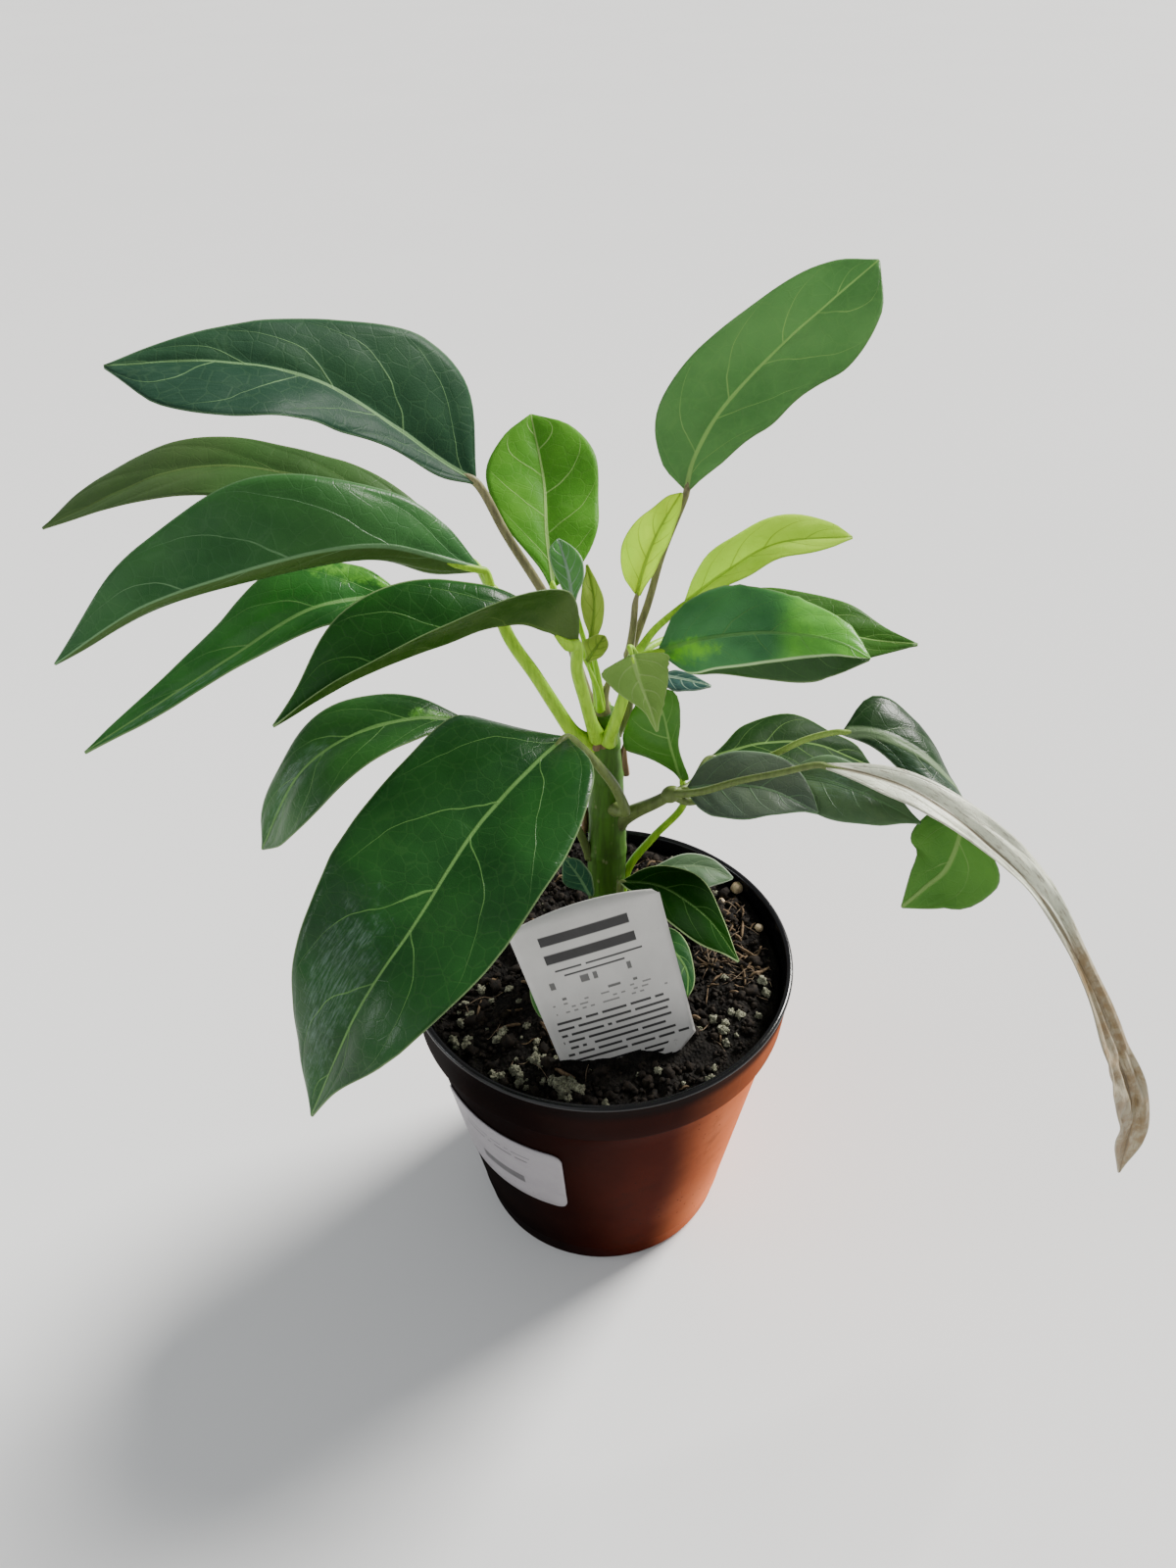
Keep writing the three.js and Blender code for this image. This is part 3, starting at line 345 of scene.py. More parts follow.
class Route:
    """A smooth curve through points in millimetres, walked by its own length."""

    SAMPLES = 200

    def __init__(self, points):
        self.points = [Vector(p) for p in points]
        self.samples = [self.between(k / self.SAMPLES) for k in range(self.SAMPLES + 1)]
        self.reached = [0.0]
        for a, b in zip(self.samples, self.samples[1:]):
            self.reached.append(self.reached[-1] + (b - a).length)
        self.length = self.reached[-1]

    def between(self, share):
        """The curve where share of its spans has passed, each span given its root of length."""
        p = self.points
        last = len(p) - 1
        i = min(int(share * last), last - 1)
        w = share * last - i
        before = p[i - 1] if i else 2 * p[0] - p[1]
        after = p[i + 2] if i + 2 <= last else 2 * p[last] - p[last - 1]
        spans = ((before, p[i]), (p[i], p[i + 1]), (p[i + 1], after))
        d0, d1, d2 = (math.sqrt((b - a).length) or 1.0 for a, b in spans)
        t1 = ((p[i] - before) / d0 - (p[i + 1] - before) / (d0 + d1) + (p[i + 1] - p[i]) / d1) * d1
        t2 = ((p[i + 1] - p[i]) / d1 - (after - p[i]) / (d1 + d2) + (after - p[i + 1]) / d2) * d1
        c2 = -3 * p[i] + 3 * p[i + 1] - 2 * t1 - t2
        c3 = 2 * p[i] - 2 * p[i + 1] + t1 + t2
        return p[i] + t1 * w + c2 * w * w + c3 * w ** 3

    def place(self, share):
        want = min(max(share, 0.0), 1.0) * self.length
        low, high = 0, self.SAMPLES
        while high - low > 1:
            middle = (low + high) // 2
            if self.reached[middle] <= want:
                low = middle
            else:
                high = middle
        span = self.reached[high] - self.reached[low]
        return (low + (want - self.reached[low]) / max(span, 1e-9)) / self.SAMPLES

    def at(self, share):
        return self.between(min(self.place(share), 1.0))

    def along(self, share):
        t = self.place(share)
        return (self.between(min(t + 1e-4, 1.0)) - self.between(max(t - 1e-4, 0.0))).normalized()


def smooth_value(places, values, t):
    """A smooth value between given ones, with slopes taken from the neighbours."""
    last = len(places) - 1
    i = 0
    while i < last - 1 and places[i + 1] <= t:
        i += 1

    def slope(j):
        a, b = max(j - 1, 0), min(j + 1, last)
        return (values[b] - values[a]) / (places[b] - places[a])

    h = places[i + 1] - places[i]
    u = (t - places[i]) / h
    return ((2 * u ** 3 - 3 * u ** 2 + 1) * values[i] + (u ** 3 - 2 * u ** 2 + u) * h * slope(i)
            + (3 * u ** 2 - 2 * u ** 3) * values[i + 1] + (u ** 3 - u ** 2) * h * slope(i + 1))


def circle(radius, sides, start=0.0):
    """x and y of points round a circle. start is the part of a step that the first has turned."""
    turns = [math.tau * (s + start) / sides for s in range(sides)]
    return [(radius * math.cos(turn), radius * math.sin(turn)) for turn in turns]


def held_in_box(point):
    """A point in metres, held inside the box of the part's source."""
    return [min(max(c * MM, low), high) for c, low, high in zip(point, *CAD_BOX)]


def add_object(name, data):
    thing = bpy.data.objects.new(name, data)
    bpy.context.scene.collection.objects.link(thing)
    return thing


def make_piece(name, points, faces, materials, kinds=None, maps=None):
    """A mesh piece from points in millimetres. kinds is each face's material number, and maps
    holds UV maps, a pair of numbers for each point."""
    mesh = bpy.data.meshes.new(name)
    mesh.from_pydata([held_in_box(p) for p in points], [], faces)
    for material in materials:
        mesh.materials.append(material)
    if kinds:
        mesh.polygons.foreach_set("material_index", kinds)
    mesh.polygons.foreach_set("use_smooth", [True] * len(faces))
    corners = [0] * len(mesh.loops)
    mesh.loops.foreach_get("vertex_index", corners)
    for title, pairs in (maps or {}).items():
        layer = mesh.uv_layers.new(name=title)
        layer.data.foreach_set("uv", [c for corner in corners for c in pairs[corner]])
    mesh.validate()
    return add_object(name, mesh)


def join_bodies(name, bodies, materials, kinds=None):
    """One piece of several bodies, each its points and faces."""
    points, faces = [], []
    for more, quads in bodies:
        start = len(points)
        points += more
        faces += [tuple(v + start for v in quad) for quad in quads]
    return make_piece(name, points, faces, materials, kinds)


def settle(piece, slot, *nodes):
    """The piece rides with the pot and stands for CAD nodes. slot is not used."""
    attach(piece, "root")
    if nodes:
        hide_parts(*nodes)
    return piece


def strip_faces(start, rows, columns, flip=False, wrap=False):
    """Quads over a grid of points, with its columns closed into a ring if wrap is set."""
    faces = []
    for r in range(rows):
        for c in range(columns if wrap else columns - 1):
            a = start + r * columns + c
            b = start + r * columns + (c + 1) % columns
            quad = (a, b, b + columns, a + columns)
            faces.append(quad[::-1] if flip else quad)
    return faces


def sheet_faces(rows, columns):
    """The faces of a thin sheet, given as one grid of points and then the same grid behind it:
    its front, its back and the rim between them."""
    total = (rows + 1) * columns
    corner = rows * columns
    rim = [(r * columns, (r + 1) * columns) for r in range(rows)]
    rim += [((r + 2) * columns - 1, (r + 1) * columns - 1) for r in range(rows)]
    rim += [(c + 1, c) for c in range(columns - 1)]
    rim += [(corner + c, corner + c + 1) for c in range(columns - 1)]
    faces = strip_faces(0, rows, columns) + strip_faces(total, rows, columns, flip=True)
    return faces + [(a, b, b + total, a + total) for a, b in rim]


# ---------------------------------------------------------------- shader wiring


class Value:
    """A shader socket that sums, products and comparisons can be written with."""

    def __init__(self, wires, socket):
        self.wires = wires
        self.socket = socket

    def __add__(self, other):
        return self.wires.math("ADD", self, other)

    def __sub__(self, other):
        return self.wires.math("SUBTRACT", self, other)

    def __rsub__(self, other):
        return self.wires.math("SUBTRACT", other, self)

    def __mul__(self, other):
        return self.wires.math("MULTIPLY", self, other)

    def __truediv__(self, other):
        return self.wires.math("DIVIDE", self, other)

    def __pow__(self, other):
        return self.wires.math("POWER", self, other)

    def __abs__(self):
        return self.wires.math("ABSOLUTE", self)

    def __gt__(self, other):
        return self.wires.math("GREATER_THAN", self, other)

    def __lt__(self, other):
        return self.wires.math("LESS_THAN", self, other)


def socket_title(word):
    return word.replace("_", " ").title()


class Sockets:
    """A group's inputs or outputs, each read by its name as a value."""

    def __init__(self, wires, sockets):
        self.wires = wires
        self.sockets = sockets

    def __getattr__(self, word):
        return Value(self.wires, self.sockets[socket_title(word)])


class Wiring:
    """Short calls that add nodes to a material's or a group's tree and link them."""

    def __init__(self, tree):
        self.tree = tree

    def put(self, socket, value):
        if isinstance(value, Value):
            self.tree.links.new(value.socket, socket)
        elif isinstance(value, tuple) and len(value) == 3 and socket.type == "RGBA":
            socket.default_value = (*value, 1)
        else:
            socket.default_value = value

    def node(self, kind, inputs=None, **settings):
        node = self.tree.nodes.new("ShaderNode" + kind)
        for key, value in settings.items():
            setattr(node, key, value)
        for key, value in (inputs or {}).items():
            self.put(node.inputs[key], value)
        return node

    def value(self, kind, inputs=None, output=0, **settings):
        return Value(self, self.node(kind, inputs, **settings).outputs[output])

    def math(self, operation, *values):
        return self.value("Math", dict(enumerate(values)), operation=operation)

    def step(self, value, start, end, low=0.0, high=1.0):
        """A smooth step from low at start to high at end."""
        return self.value("MapRange", {"Value": value, "From Min": start, "From Max": end, "To Min": low,
                                       "To Max": high}, "Result", interpolation_type="SMOOTHSTEP")

    def mix(self, share, a, b):
        return self.value("Mix", {"Factor": share, 6: a, 7: b}, 2, data_type="RGBA")

    def layers(self, colour, *layers):
        """A colour with others laid over it, each given as its share and its colour."""
        for share, over in layers:
            colour = self.mix(share, colour, over)
        return colour

    def noise(self, vector, scale, detail=3.0, rough=0.55, stretch=None):
        if stretch:
            vector = self.value("Mapping", {"Vector": vector, "Scale": stretch})
        return self.value("TexNoise", {"Vector": vector, "Scale": scale, "Detail": detail,
                                       "Roughness": rough},
                          "Fac")

    def cells(self, vector, scale, feature="F1", stretch=None):
        if stretch:
            vector = self.value("Mapping", {"Vector": vector, "Scale": stretch})
        return self.value("TexVoronoi", {"Vector": vector, "Scale": scale}, "Distance", feature=feature)

    def chance(self, number):
        """A random value for each whole number."""
        return self.value("TexWhiteNoise", {"W": number}, "Value", noise_dimensions="1D")

    def map(self, name):
        return self.value("UVMap", uv_map=name)

    def here(self):
        return self.value("TexCoord", output="Object")

    def apart(self, vector):
        """The three numbers of a vector."""
        return [Value(self, part) for part in self.node("SeparateXYZ", {"Vector": vector}).outputs]

    def bump(self, height, distance, strength=1.0):
        return self.value("Bump", {"Height": height, "Distance": distance, "Strength": strength}, "Normal")

    def group(self, group, **inputs):
        named = {socket_title(word): value for word, value in inputs.items()}
        return Sockets(self, self.node("Group", named, node_tree=group).outputs)

    def give(self, **values):
        """Makes a group's outputs and returns the group."""
        for word, value in values.items():
            kind = "NodeSocketColor" if value.socket.type == "RGBA" else "NodeSocketFloat"
            self.tree.interface.new_socket(name=socket_title(word), in_out="OUTPUT", socket_type=kind)
        out = self.tree.nodes.new("NodeGroupOutput").inputs
        for word, value in values.items():
            self.put(out[socket_title(word)], value)
        return self.tree

    def dress(self, shader, colour, rough, height, depth, strength=1.0):
        """Gives a shader its colour, its roughness and its relief, whose depth is in metres."""
        self.put(shader.inputs["Base Color"], colour)
        self.put(shader.inputs["Roughness"], rough)
        self.put(shader.inputs["Normal"], self.bump(height, depth, strength))


def make_group(name, **inputs):
    """An empty shader group's wiring and its inputs, where a tuple is a colour and a list a vector."""
    group = bpy.data.node_groups.new(name, "ShaderNodeTree")
    for word, value in inputs.items():
        kind = {float: "Float", tuple: "Color", list: "Vector"}[type(value)]
        socket = group.interface.new_socket(name=socket_title(word), in_out="INPUT",
                                            socket_type="NodeSocket" + kind)
        socket.default_value = (*value, 1) if kind == "Color" else value
    wires = Wiring(group)
    return wires, Sockets(wires, group.nodes.new("NodeGroupInput").outputs)


def make_material(name, settings=None):
    """A new material, its wiring and its Principled shader."""
    material = bpy.data.materials.new(name)
    material.use_nodes = True
    wires = Wiring(material.node_tree)
    shader = next(n for n in material.node_tree.nodes if n.type == "BSDF_PRINCIPLED")
    for key, value in (settings or {}).items():
        wires.put(shader.inputs[key], value)
    return material, wires, shader


# ---------------------------------------------------------------- leaf finishes

# Where a blade's right edge turns under: how far across at the base, and how much less at the tip.
TURN_START = 1.05
TURN_SLOPE = 0.8

# How far the side veins bow towards the tip, in the veins' colour and in the blade's relief.
VEIN_SWEEP = 0.3

# Painted shade on a turned-under strip, then the pale fold line, spots, grey-green haze and a painted
# highlight.
TURNED_SHADE_COLOUR = (0.034, 0.090, 0.022)
FOLD_COLOUR = (0.55, 0.78, 0.36)
SPOT_COLOUR = (0.05, 0.05, 0.012)
HAZE_COLOUR = (0.16, 0.27, 0.19)
PAINTED_HIGHLIGHT_COLOUR = (0.30, 0.42, 0.38)


def seeded_place(w, seed):
    """The place on a blade in centimetres, moved by the leaf's seed."""
    moved = w.value("CombineXYZ", {"Z": seed})
    return w.value("VectorMath", {0: w.map("size"), 1: moved}, operation="ADD")


def build_vein_group():
    """Midrib, side veins that bow towards the tip, the fine net and the pale margin of a blade."""
    w, given = make_group("leaf_veins", length=10.0, pairs=5.0, seed=0.0, rib=1.0)
    blade_x, along, _ = w.apart(w.map("blade"))
    across = blade_x * 2 - 1
    out_from_rib = abs(across)
    cm_out = abs(w.apart(w.map("size"))[0])
    rib_width = given.rib * (along * -0.048 + 0.07)
    seeded = seeded_place(w, given.seed)
    wander = w.noise(seeded, 0.55, 2.0) * 0.08 - 0.04
    bow = (out_from_rib * 0.62 + out_from_rib ** 3 * 0.5) * VEIN_SWEEP
    phase = (along - bow + wander) * given.pairs + (across > 0.0) * 0.38
    off = abs(w.math("FRACT", phase) - 0.5)
    cm_off = off / given.pairs * given.length * 0.75
    vein_width = out_from_rib * -0.022 + 0.034
    side = w.step(cm_off, vein_width * 0.35, vein_width, 1.0, 0.0)
    fades = w.step(w.noise(seeded, 1.1, 2.0), 0.33, 0.55, 0.5, 1.0)
    held = w.step(out_from_rib, 0.78, 0.97, 1.0, 0.15)
    to_edge = cm_out * ((1.0 - out_from_rib) / w.math("MAXIMUM", out_from_rib, 0.05))
    return w.give(
        midrib=w.step(cm_out, rib_width * 0.55, rib_width * 1.35, 1.0, 0.0),
        side_veins=side * fades * held,
        net=w.step(w.cells(seeded, 2.6, "DISTANCE_TO_EDGE"), 0.0, 0.07, 1.0, 0.0),
        margin=w.step(to_edge, 0.012, 0.05, 1.0, 0.0),
        pillow=w.step(cm_off, 0.0, 0.45) * w.step(cm_out, 0.0, 0.3))


def build_leaf_group(veins):
    """The colour, roughness and relief of a leaf's face. The inputs are those of a Leaf."""
    colour, patch_spot = (0.1, 0.2, 0.05), [0.0, 0.0, 0.0]
    w, given = make_group(
        "leaf_face", length=10.0, pairs=5.0, seed=0.0, rib=1.0, flesh=colour, light_flesh=colour, vein=colour,
        edge=colour, veined=0.7, edged=0.4, haze=0.0, lit=patch_spot, lit_colour=colour, bloom=patch_spot,
        gloss=0.34, spots=0.0, left_half=colour, left_share=0.0, end=colour, end_from=2.0, streaked=0.0,
        turned=0.0)
    shape = w.group(veins, length=given.length, pairs=given.pairs, seed=given.seed, rib=given.rib)
    blade_x, along, _ = w.apart(w.map("blade"))
    across = blade_x * 2 - 1
    seeded = seeded_place(w, given.seed)
    broad = w.noise(seeded, 0.35, 3.0)
    fine = w.noise(seeded, 5.0, 4.0, 0.7)

    def patch(spot):
        """A soft patch with a ragged edge, its length along the blade twice its width."""
        spot_across, spot_along, size = w.apart(spot)
        away = w.math("SQRT", ((across - spot_across) * 0.55) ** 2 + (along - spot_along) ** 2)
        ragged = away + (w.noise(seeded, 2.4, 6.0, 0.7) * 0.5 - 0.25)
        return w.step(ragged, size * 0.45, size + 0.001, 1.0, 0.0) * (size > 0.01)

    ending = w.step(along + (broad * 0.16 - 0.08), given.end_from, given.end_from + 0.16)
    mottled = w.step(w.noise(seeded, 1.7, 4.0, 0.65), 0.38, 0.62, 0.3, 0.95)
    streaks = w.noise(w.map("size"), 6.0, 4.0, 0.7, stretch=(3.0, 0.35, 1.0))
    past_fold = across - (along * -TURN_SLOPE + TURN_START)
    fold_line = w.step(abs(past_fold), 0.012, 0.045, 1.0, 0.0)
    haze = given.haze * w.step(along, 0.35, 1.0) * w.step(streaks, 0.35, 0.7, 0.25, 1.0)
    colour = w.layers(
        given.flesh,
        (w.step(broad, 0.32, 0.68), given.light_flesh),
        (w.step(fine, 0.3, 0.75) * 0.28, given.light_flesh),
        # painted light and shade on the half left of the midrib
        ((across < 0.0) * given.left_share, given.left_half),
        # the tip's colour: a withered tip's own, and on one leaflet painted light beyond a painted shadow
        (ending * (mottled * 0.4 + 0.6), given.end),
        (w.step(streaks, 0.5, 0.68) * given.streaked, given.vein),
        # painted light: a patch where light shines through
        (patch(given.lit) * mottled, given.lit_colour),
        # painted shade on the strip that turns under
        ((past_fold > 0.0) * given.turned, TURNED_SHADE_COLOUR),
        (w.step(w.cells(seeded, 1.7), 0.0, 0.06, 1.0, 0.0) * given.spots, SPOT_COLOUR),
        (haze, HAZE_COLOUR),
        # painted highlight: silvery streaks of gleam
        (patch(given.bloom) * w.step(streaks, 0.38, 0.75) * 0.3, PAINTED_HIGHLIGHT_COLOUR),
        (shape.net * 0.06 * given.veined, given.vein),
        (shape.side_veins * given.veined * 0.8, given.vein),
        (shape.midrib * given.veined, given.vein),
        (shape.margin * given.edged, given.edge),
        (fold_line * given.turned, FOLD_COLOUR))
    rough = given.gloss + (fine * 0.14 - 0.07) + w.math("MAXIMUM", shape.midrib, haze) * 0.15
    height = (shape.midrib * 0.7 + shape.side_veins * 0.3 + shape.pillow * 0.35 - shape.net * 0.12
              + w.cells(seeded, 26.0) * 0.1 + w.noise(seeded, 2.2, 3.0) * 0.5)
    return w.give(colour=colour, roughness=rough, height=height, thin=w.mix(0.4, colour, given.light_flesh))


# Skins: flesh, lighter flesh, vein, edge, the part of the light that passes through, and gloss.
SKINS = {
    "blue_green": (
        (0.020, 0.082, 0.046), (0.036, 0.125, 0.062), (0.17, 0.34, 0.15), (0.14, 0.24, 0.12), 0.16, 0.36),
    "deep": (
        (0.013, 0.066, 0.016), (0.028, 0.115, 0.026), (0.15, 0.32, 0.08), (0.30, 0.42, 0.18), 0.18, 0.30),
    "mid": (
        (0.050, 0.165, 0.036), (0.085, 0.24, 0.055), (0.26, 0.46, 0.12), (0.18, 0.32, 0.10), 0.28, 0.38),
    "fresh": (
        (0.095, 0.27, 0.045), (0.16, 0.38, 0.065), (0.42, 0.60, 0.20), (0.22, 0.42, 0.10), 0.34, 0.38),
    "olive": (
        (0.058, 0.105, 0.018), (0.095, 0.16, 0.030), (0.13, 0.20, 0.05), (0.12, 0.18, 0.05), 0.26, 0.45),
    "olive_deep": (
        (0.026, 0.080, 0.006), (0.044, 0.120, 0.011), (0.13, 0.22, 0.05), (0.12, 0.18, 0.05), 0.26, 0.45),
    "pale_olive": (
        (0.20, 0.36, 0.075), (0.27, 0.46, 0.10), (0.42, 0.60, 0.20), (0.45, 0.58, 0.25), 0.34, 0.42),
    "olive_light": (
        (0.110, 0.20, 0.045), (0.15, 0.27, 0.06), (0.30, 0.44, 0.16), (0.38, 0.50, 0.20), 0.34, 0.42),
    "yellow": ((0.30, 0.44, 0.055), (0.42, 0.56, 0.10), (0.16, 0.27, 0.05), (0.40, 0.52, 0.14), 0.45, 0.40),
    "slate": (
        (0.022, 0.060, 0.055), (0.045, 0.11, 0.095), (0.30, 0.44, 0.32), (0.36, 0.46, 0.34), 0.12, 0.26),
    "silver": (
        (0.060, 0.115, 0.075), (0.13, 0.20, 0.15), (0.26, 0.38, 0.20), (0.34, 0.42, 0.30), 0.20, 0.32),
    "withered": (
        (0.27, 0.28, 0.24), (0.44, 0.44, 0.39), (0.10, 0.085, 0.06), (0.42, 0.41, 0.33), 0.3, 0.42),
}
SAME_IN_SHADER = ("pairs", "rib", "veined", "edged", "haze", "lit", "lit_colour", "bloom", "end", "end_from",
                  "streaked", "turned")


def leaf_materials(name, leaf, length, seed, group):
    """The materials of one leaf's upper and lower face."""
    flesh, light, vein, edge, through, gloss = SKINS[leaf.skin]
    flesh, light = (tuple(min(a * b, 0.9) for a, b in zip(colour, leaf.tint)) for colour in (flesh, light))
    through = leaf.through or through
    upper = {key: getattr(leaf, key) for key in SAME_IN_SHADER}
    upper.update(
        length=length / 10, seed=float(seed), flesh=flesh, light_flesh=light, vein=leaf.vein or vein,
        edge=edge,
        gloss=leaf.gloss or gloss, spots=0.7 if leaf.skin == "yellow" else 0.0,
        left_half=leaf.left_half or flesh, left_share=1.0 if leaf.left_half else 0.0)
    paler = [mix(a, b, 0.5) for a, b in zip(flesh, light)]
    under = dict(
        upper, flesh=tuple(mix(c, 0.22, 0.12) for c in paler),
        light_flesh=tuple(mix(c, 0.3, 0.16) for c in light),
        lit=(0, 0, 0), bloom=(0, 0, 0), gloss=0.52, veined=0.55, left_share=0.0, haze=0.0)
    under_through = through
    if leaf.under:
        shown, lighter, vein, _, under_through, _ = SKINS[leaf.under]
        under.update(flesh=shown, light_flesh=lighter, vein=vein)
        if leaf.under_base:
            under.update(flesh=leaf.under_base, light_flesh=leaf.under_base, end=shown, end_from=0.12)
    made = []
    for face, facts, passing, sheen, relief in (
        ("upper", upper, through, leaf.sheen, 0.6), ("under", under, under_through, 0.12, 0.8),
    ):
        material, w, shader = make_material(f"{name}_{face}", {"Specular IOR Level": sheen})
        look = w.group(group, **facts)
        w.dress(shader, look.colour, look.roughness, look.height, 0.0004, relief)
        normal = Value(w, shader.inputs["Normal"].links[0].from_socket)
        glow = w.value("BsdfTranslucent", {"Color": look.thin, "Normal": normal})
        both = w.value("MixShader", {0: passing, 1: Value(w, shader.outputs[0]), 2: glow})
        ending = next(n for n in material.node_tree.nodes if n.type == "OUTPUT_MATERIAL")
        w.put(ending.inputs["Surface"], both)
        made.append(material)
    return made


# ---------------------------------------------------------------- leaf blades

BLADE_THICK = 0.5
COLUMNS_A_SIDE = 13


class Blade:
    """The form of one leaf blade: a folded sheet on a curved midrib."""

    def __init__(self, leaf, seed):
        self.leaf = leaf
        self.route = Route(leaf.midrib)
        self.faces = [Vector(f).normalized() for f in leaf.face]
        self.widths = {-1: [1, *leaf.left, TIP_HALF_WIDTH], 1: [1, *leaf.right, TIP_HALF_WIDTH]}
        self.seed = seed

    def frame(self, t):
        """Centre, way along, way to the right and way up at a place along the midrib."""
        along = self.route.along(t)
        place = t * (len(self.faces) - 1)
        i = min(int(place), len(self.faces) - 2)
        look = self.faces[i].lerp(self.faces[i + 1], place - i)
        side = along.cross(look).normalized()
        return self.route.at(t), along, side, side.cross(along).normalized()

    def half_width(self, side, t):
        return max(smooth_value(WIDTH_STATIONS, self.widths[side], t), TIP_HALF_WIDTH)

    def relief(self, q, t, width):
        """Height above the plain folded sheet: arch, pillows between veins, waves and crumples."""
        a = abs(q)
        side = 1 if q > 0 else -1
        ends = min(1.0, 5 * t, 6 * (1 - t))
        arch = 0.16 * width * a * (1 - a)
        phase = self.leaf.pairs * (t - VEIN_SWEEP * (0.62 * a + 0.5 * a ** 3)) + (0.38 if q > 0 else 0)
        pillow = 0.55 * (abs(phase % 1 - 0.5) * 2) ** 0.8 * min(1.0, 3 * a) * (1 - a)
        calm = min(width / 12, 1.0)
        wave = 0.5 * a ** 3 * math.sin(math.tau * (2.6 * t + 0.31 * self.seed + 0.4 * side))
        ripple = 0.4 * noise.noise((q * width / 9 + 40 * side, t * self.route.length / 9, self.seed * 7.3))
        total = arch + (pillow + wave * ends + ripple) * calm
        if self.leaf.turned:
            total -= 3.5 * max(0.0, q - TURN_START + TURN_SLOPE * t) * ends
        if self.leaf.crumple:
            drift = noise.noise((t * 6, self.seed, 3.1))
            folds = math.sin(q * 8 + 5 * drift) * 0.8 + math.sin(q * 15 - 7 * drift) * 0.35
            total += self.leaf.crumple * folds * min(1.0, 3 * t) * ends * (0.5 + t) * min(width / 8, 1.0)
        return total

    def under_rib(self, radius):
        """Two points under the midrib's first part, where a stalk runs out."""
        points = []
        for t in (0.05, 0.13):
            centre, _, _, up = self.frame(t)
            points.append(tuple(centre - up * (BLADE_THICK / 2 + radius * mix(0.7, 0.3, t / 0.13))))
        return points

    def edge_shift(self, q, t):
        """Small teeth on one edge."""
        if self.leaf.teeth != ("right" if q > 0 else "left") or abs(q) < 0.9:
            return 0.0
        return 0.5 * max(0.0, math.sin(math.tau * 13 * t)) ** 6

    def surface(self, q, t):
        """The sheet's middle, its normal and the way out from the midrib, at q across and t along."""
        centre, _, side, up = self.frame(t)
        sign = 0 if q == 0 else math.copysign(1, q)
        width = self.half_width(sign or -1, t)
        fold = math.radians(self.leaf.fold[1 if q > 0 else 0])
        soft = min(1.0, abs(q) * width / 1.5)
        out = side * (sign * math.cos(fold)) + up * math.sin(fold) * (1 if q else 0)
        normal = (up * mix(1, math.cos(fold), soft) - side * (sign * math.sin(fold) * soft)).normalized()
        reach = abs(q) * width + self.edge_shift(q, t)
        return centre + out * reach + normal * self.relief(q, t, width), normal, sign * abs(q) * width


def make_blade(name, leaf, seed, group, slot, *nodes):
    blade = Blade(leaf, seed)
    length = blade.route.length
    rows = max(24, round(length / 2))
    spread = [(k / COLUMNS_A_SIDE) ** 1.25 for k in range(1, COLUMNS_A_SIDE + 1)]
    columns = [-q for q in reversed(spread)] + [0] + spread
    top, under, plan, size = [], [], [], []
    for r in range(rows + 1):
        t = r / rows
        for q in columns:
            spot, normal, out = blade.surface(q, t)
            rib = math.exp(-(out / 0.9) ** 2) * (1 - 0.75 * t)
            half = BLADE_THICK / 2 * (1 - 0.55 * abs(q) ** 6)
            top.append(spot + normal * (half + 0.22 * rib))
            under.append(spot - normal * (half + 0.75 * rib))
            plan.append((q / 2 + 0.5, t))
            size.append((out / 10, t * length / 10))
    faces = sheet_faces(rows, len(columns))
    grid = rows * (len(columns) - 1)
    kinds = [0] * grid + [1] * grid + [0] * (len(faces) - 2 * grid)
    materials = leaf_materials(name, leaf, length, seed, group)
    piece = make_piece(name + "_blade", top + under, faces, materials, kinds,
                       {"blade": plan * 2, "size": size * 2})
    settle(piece, slot, *nodes)
    return blade


# ---------------------------------------------------------------- stalks and stem


def tube(route, radius_at, rings, sides, shape=None):
    """A closed round body along a route. shape(turn, t) scales its radius."""
    side = route.along(0).cross(Vector((0.3, 0.2, 1))).normalized()
    points = []
    for k in range(rings + 1):
        t = k / rings
        along = route.along(t)
        side = (side - along * side.dot(along)).normalized()
        other = along.cross(side)
        for s in range(sides):
            turn = math.tau * s / sides
            r = radius_at(t) * (shape(turn, t) if shape else 1)
            points.append(route.at(t) + side * (r * math.cos(turn)) + other * (r * math.sin(turn)))
    faces = strip_faces(0, rings, sides, wrap=True)
    faces.append(tuple(range(sides))[::-1])
    faces.append(tuple(range(rings * sides, (rings + 1) * sides)))
    return points, faces


def build_stalk_group():
    """Lengthwise streaks, darker clouds and pores of a green stalk."""
    w, given = make_group("stalk_skin", flesh=(0.3, 0.4, 0.08), dark=(0.12, 0.16, 0.04), streaks=0.5,
                          pores=0.0,
                          gloss=0.36)
    here = w.here()
    lines = w.noise(here, 900.0, 3.0, 0.6, stretch=(1.0, 1.0, 0.08))
    clouds = w.noise(here, 90.0, 3.0)
    pores = w.step(w.cells(here, 420.0, stretch=(1.0, 1.0, 0.55)), 0.14, 0.26, 1.0, 0.0)
    pores = pores * given.pores * w.step(clouds, 0.45, 0.6)
    colour = w.layers(
        given.flesh,
        (w.step(lines, 0.35, 0.7) * given.streaks, given.dark),
        (w.step(clouds, 0.52, 0.75, 0.0, 0.55), given.dark),
        (pores, (0.32, 0.30, 0.17)))
    return w.give(colour=colour, roughness=given.gloss + (clouds * 0.2 - 0.1),
                  height=lines * 0.5 + pores * 0.5 + w.noise(here, 2600.0, 2.0) * 0.25)


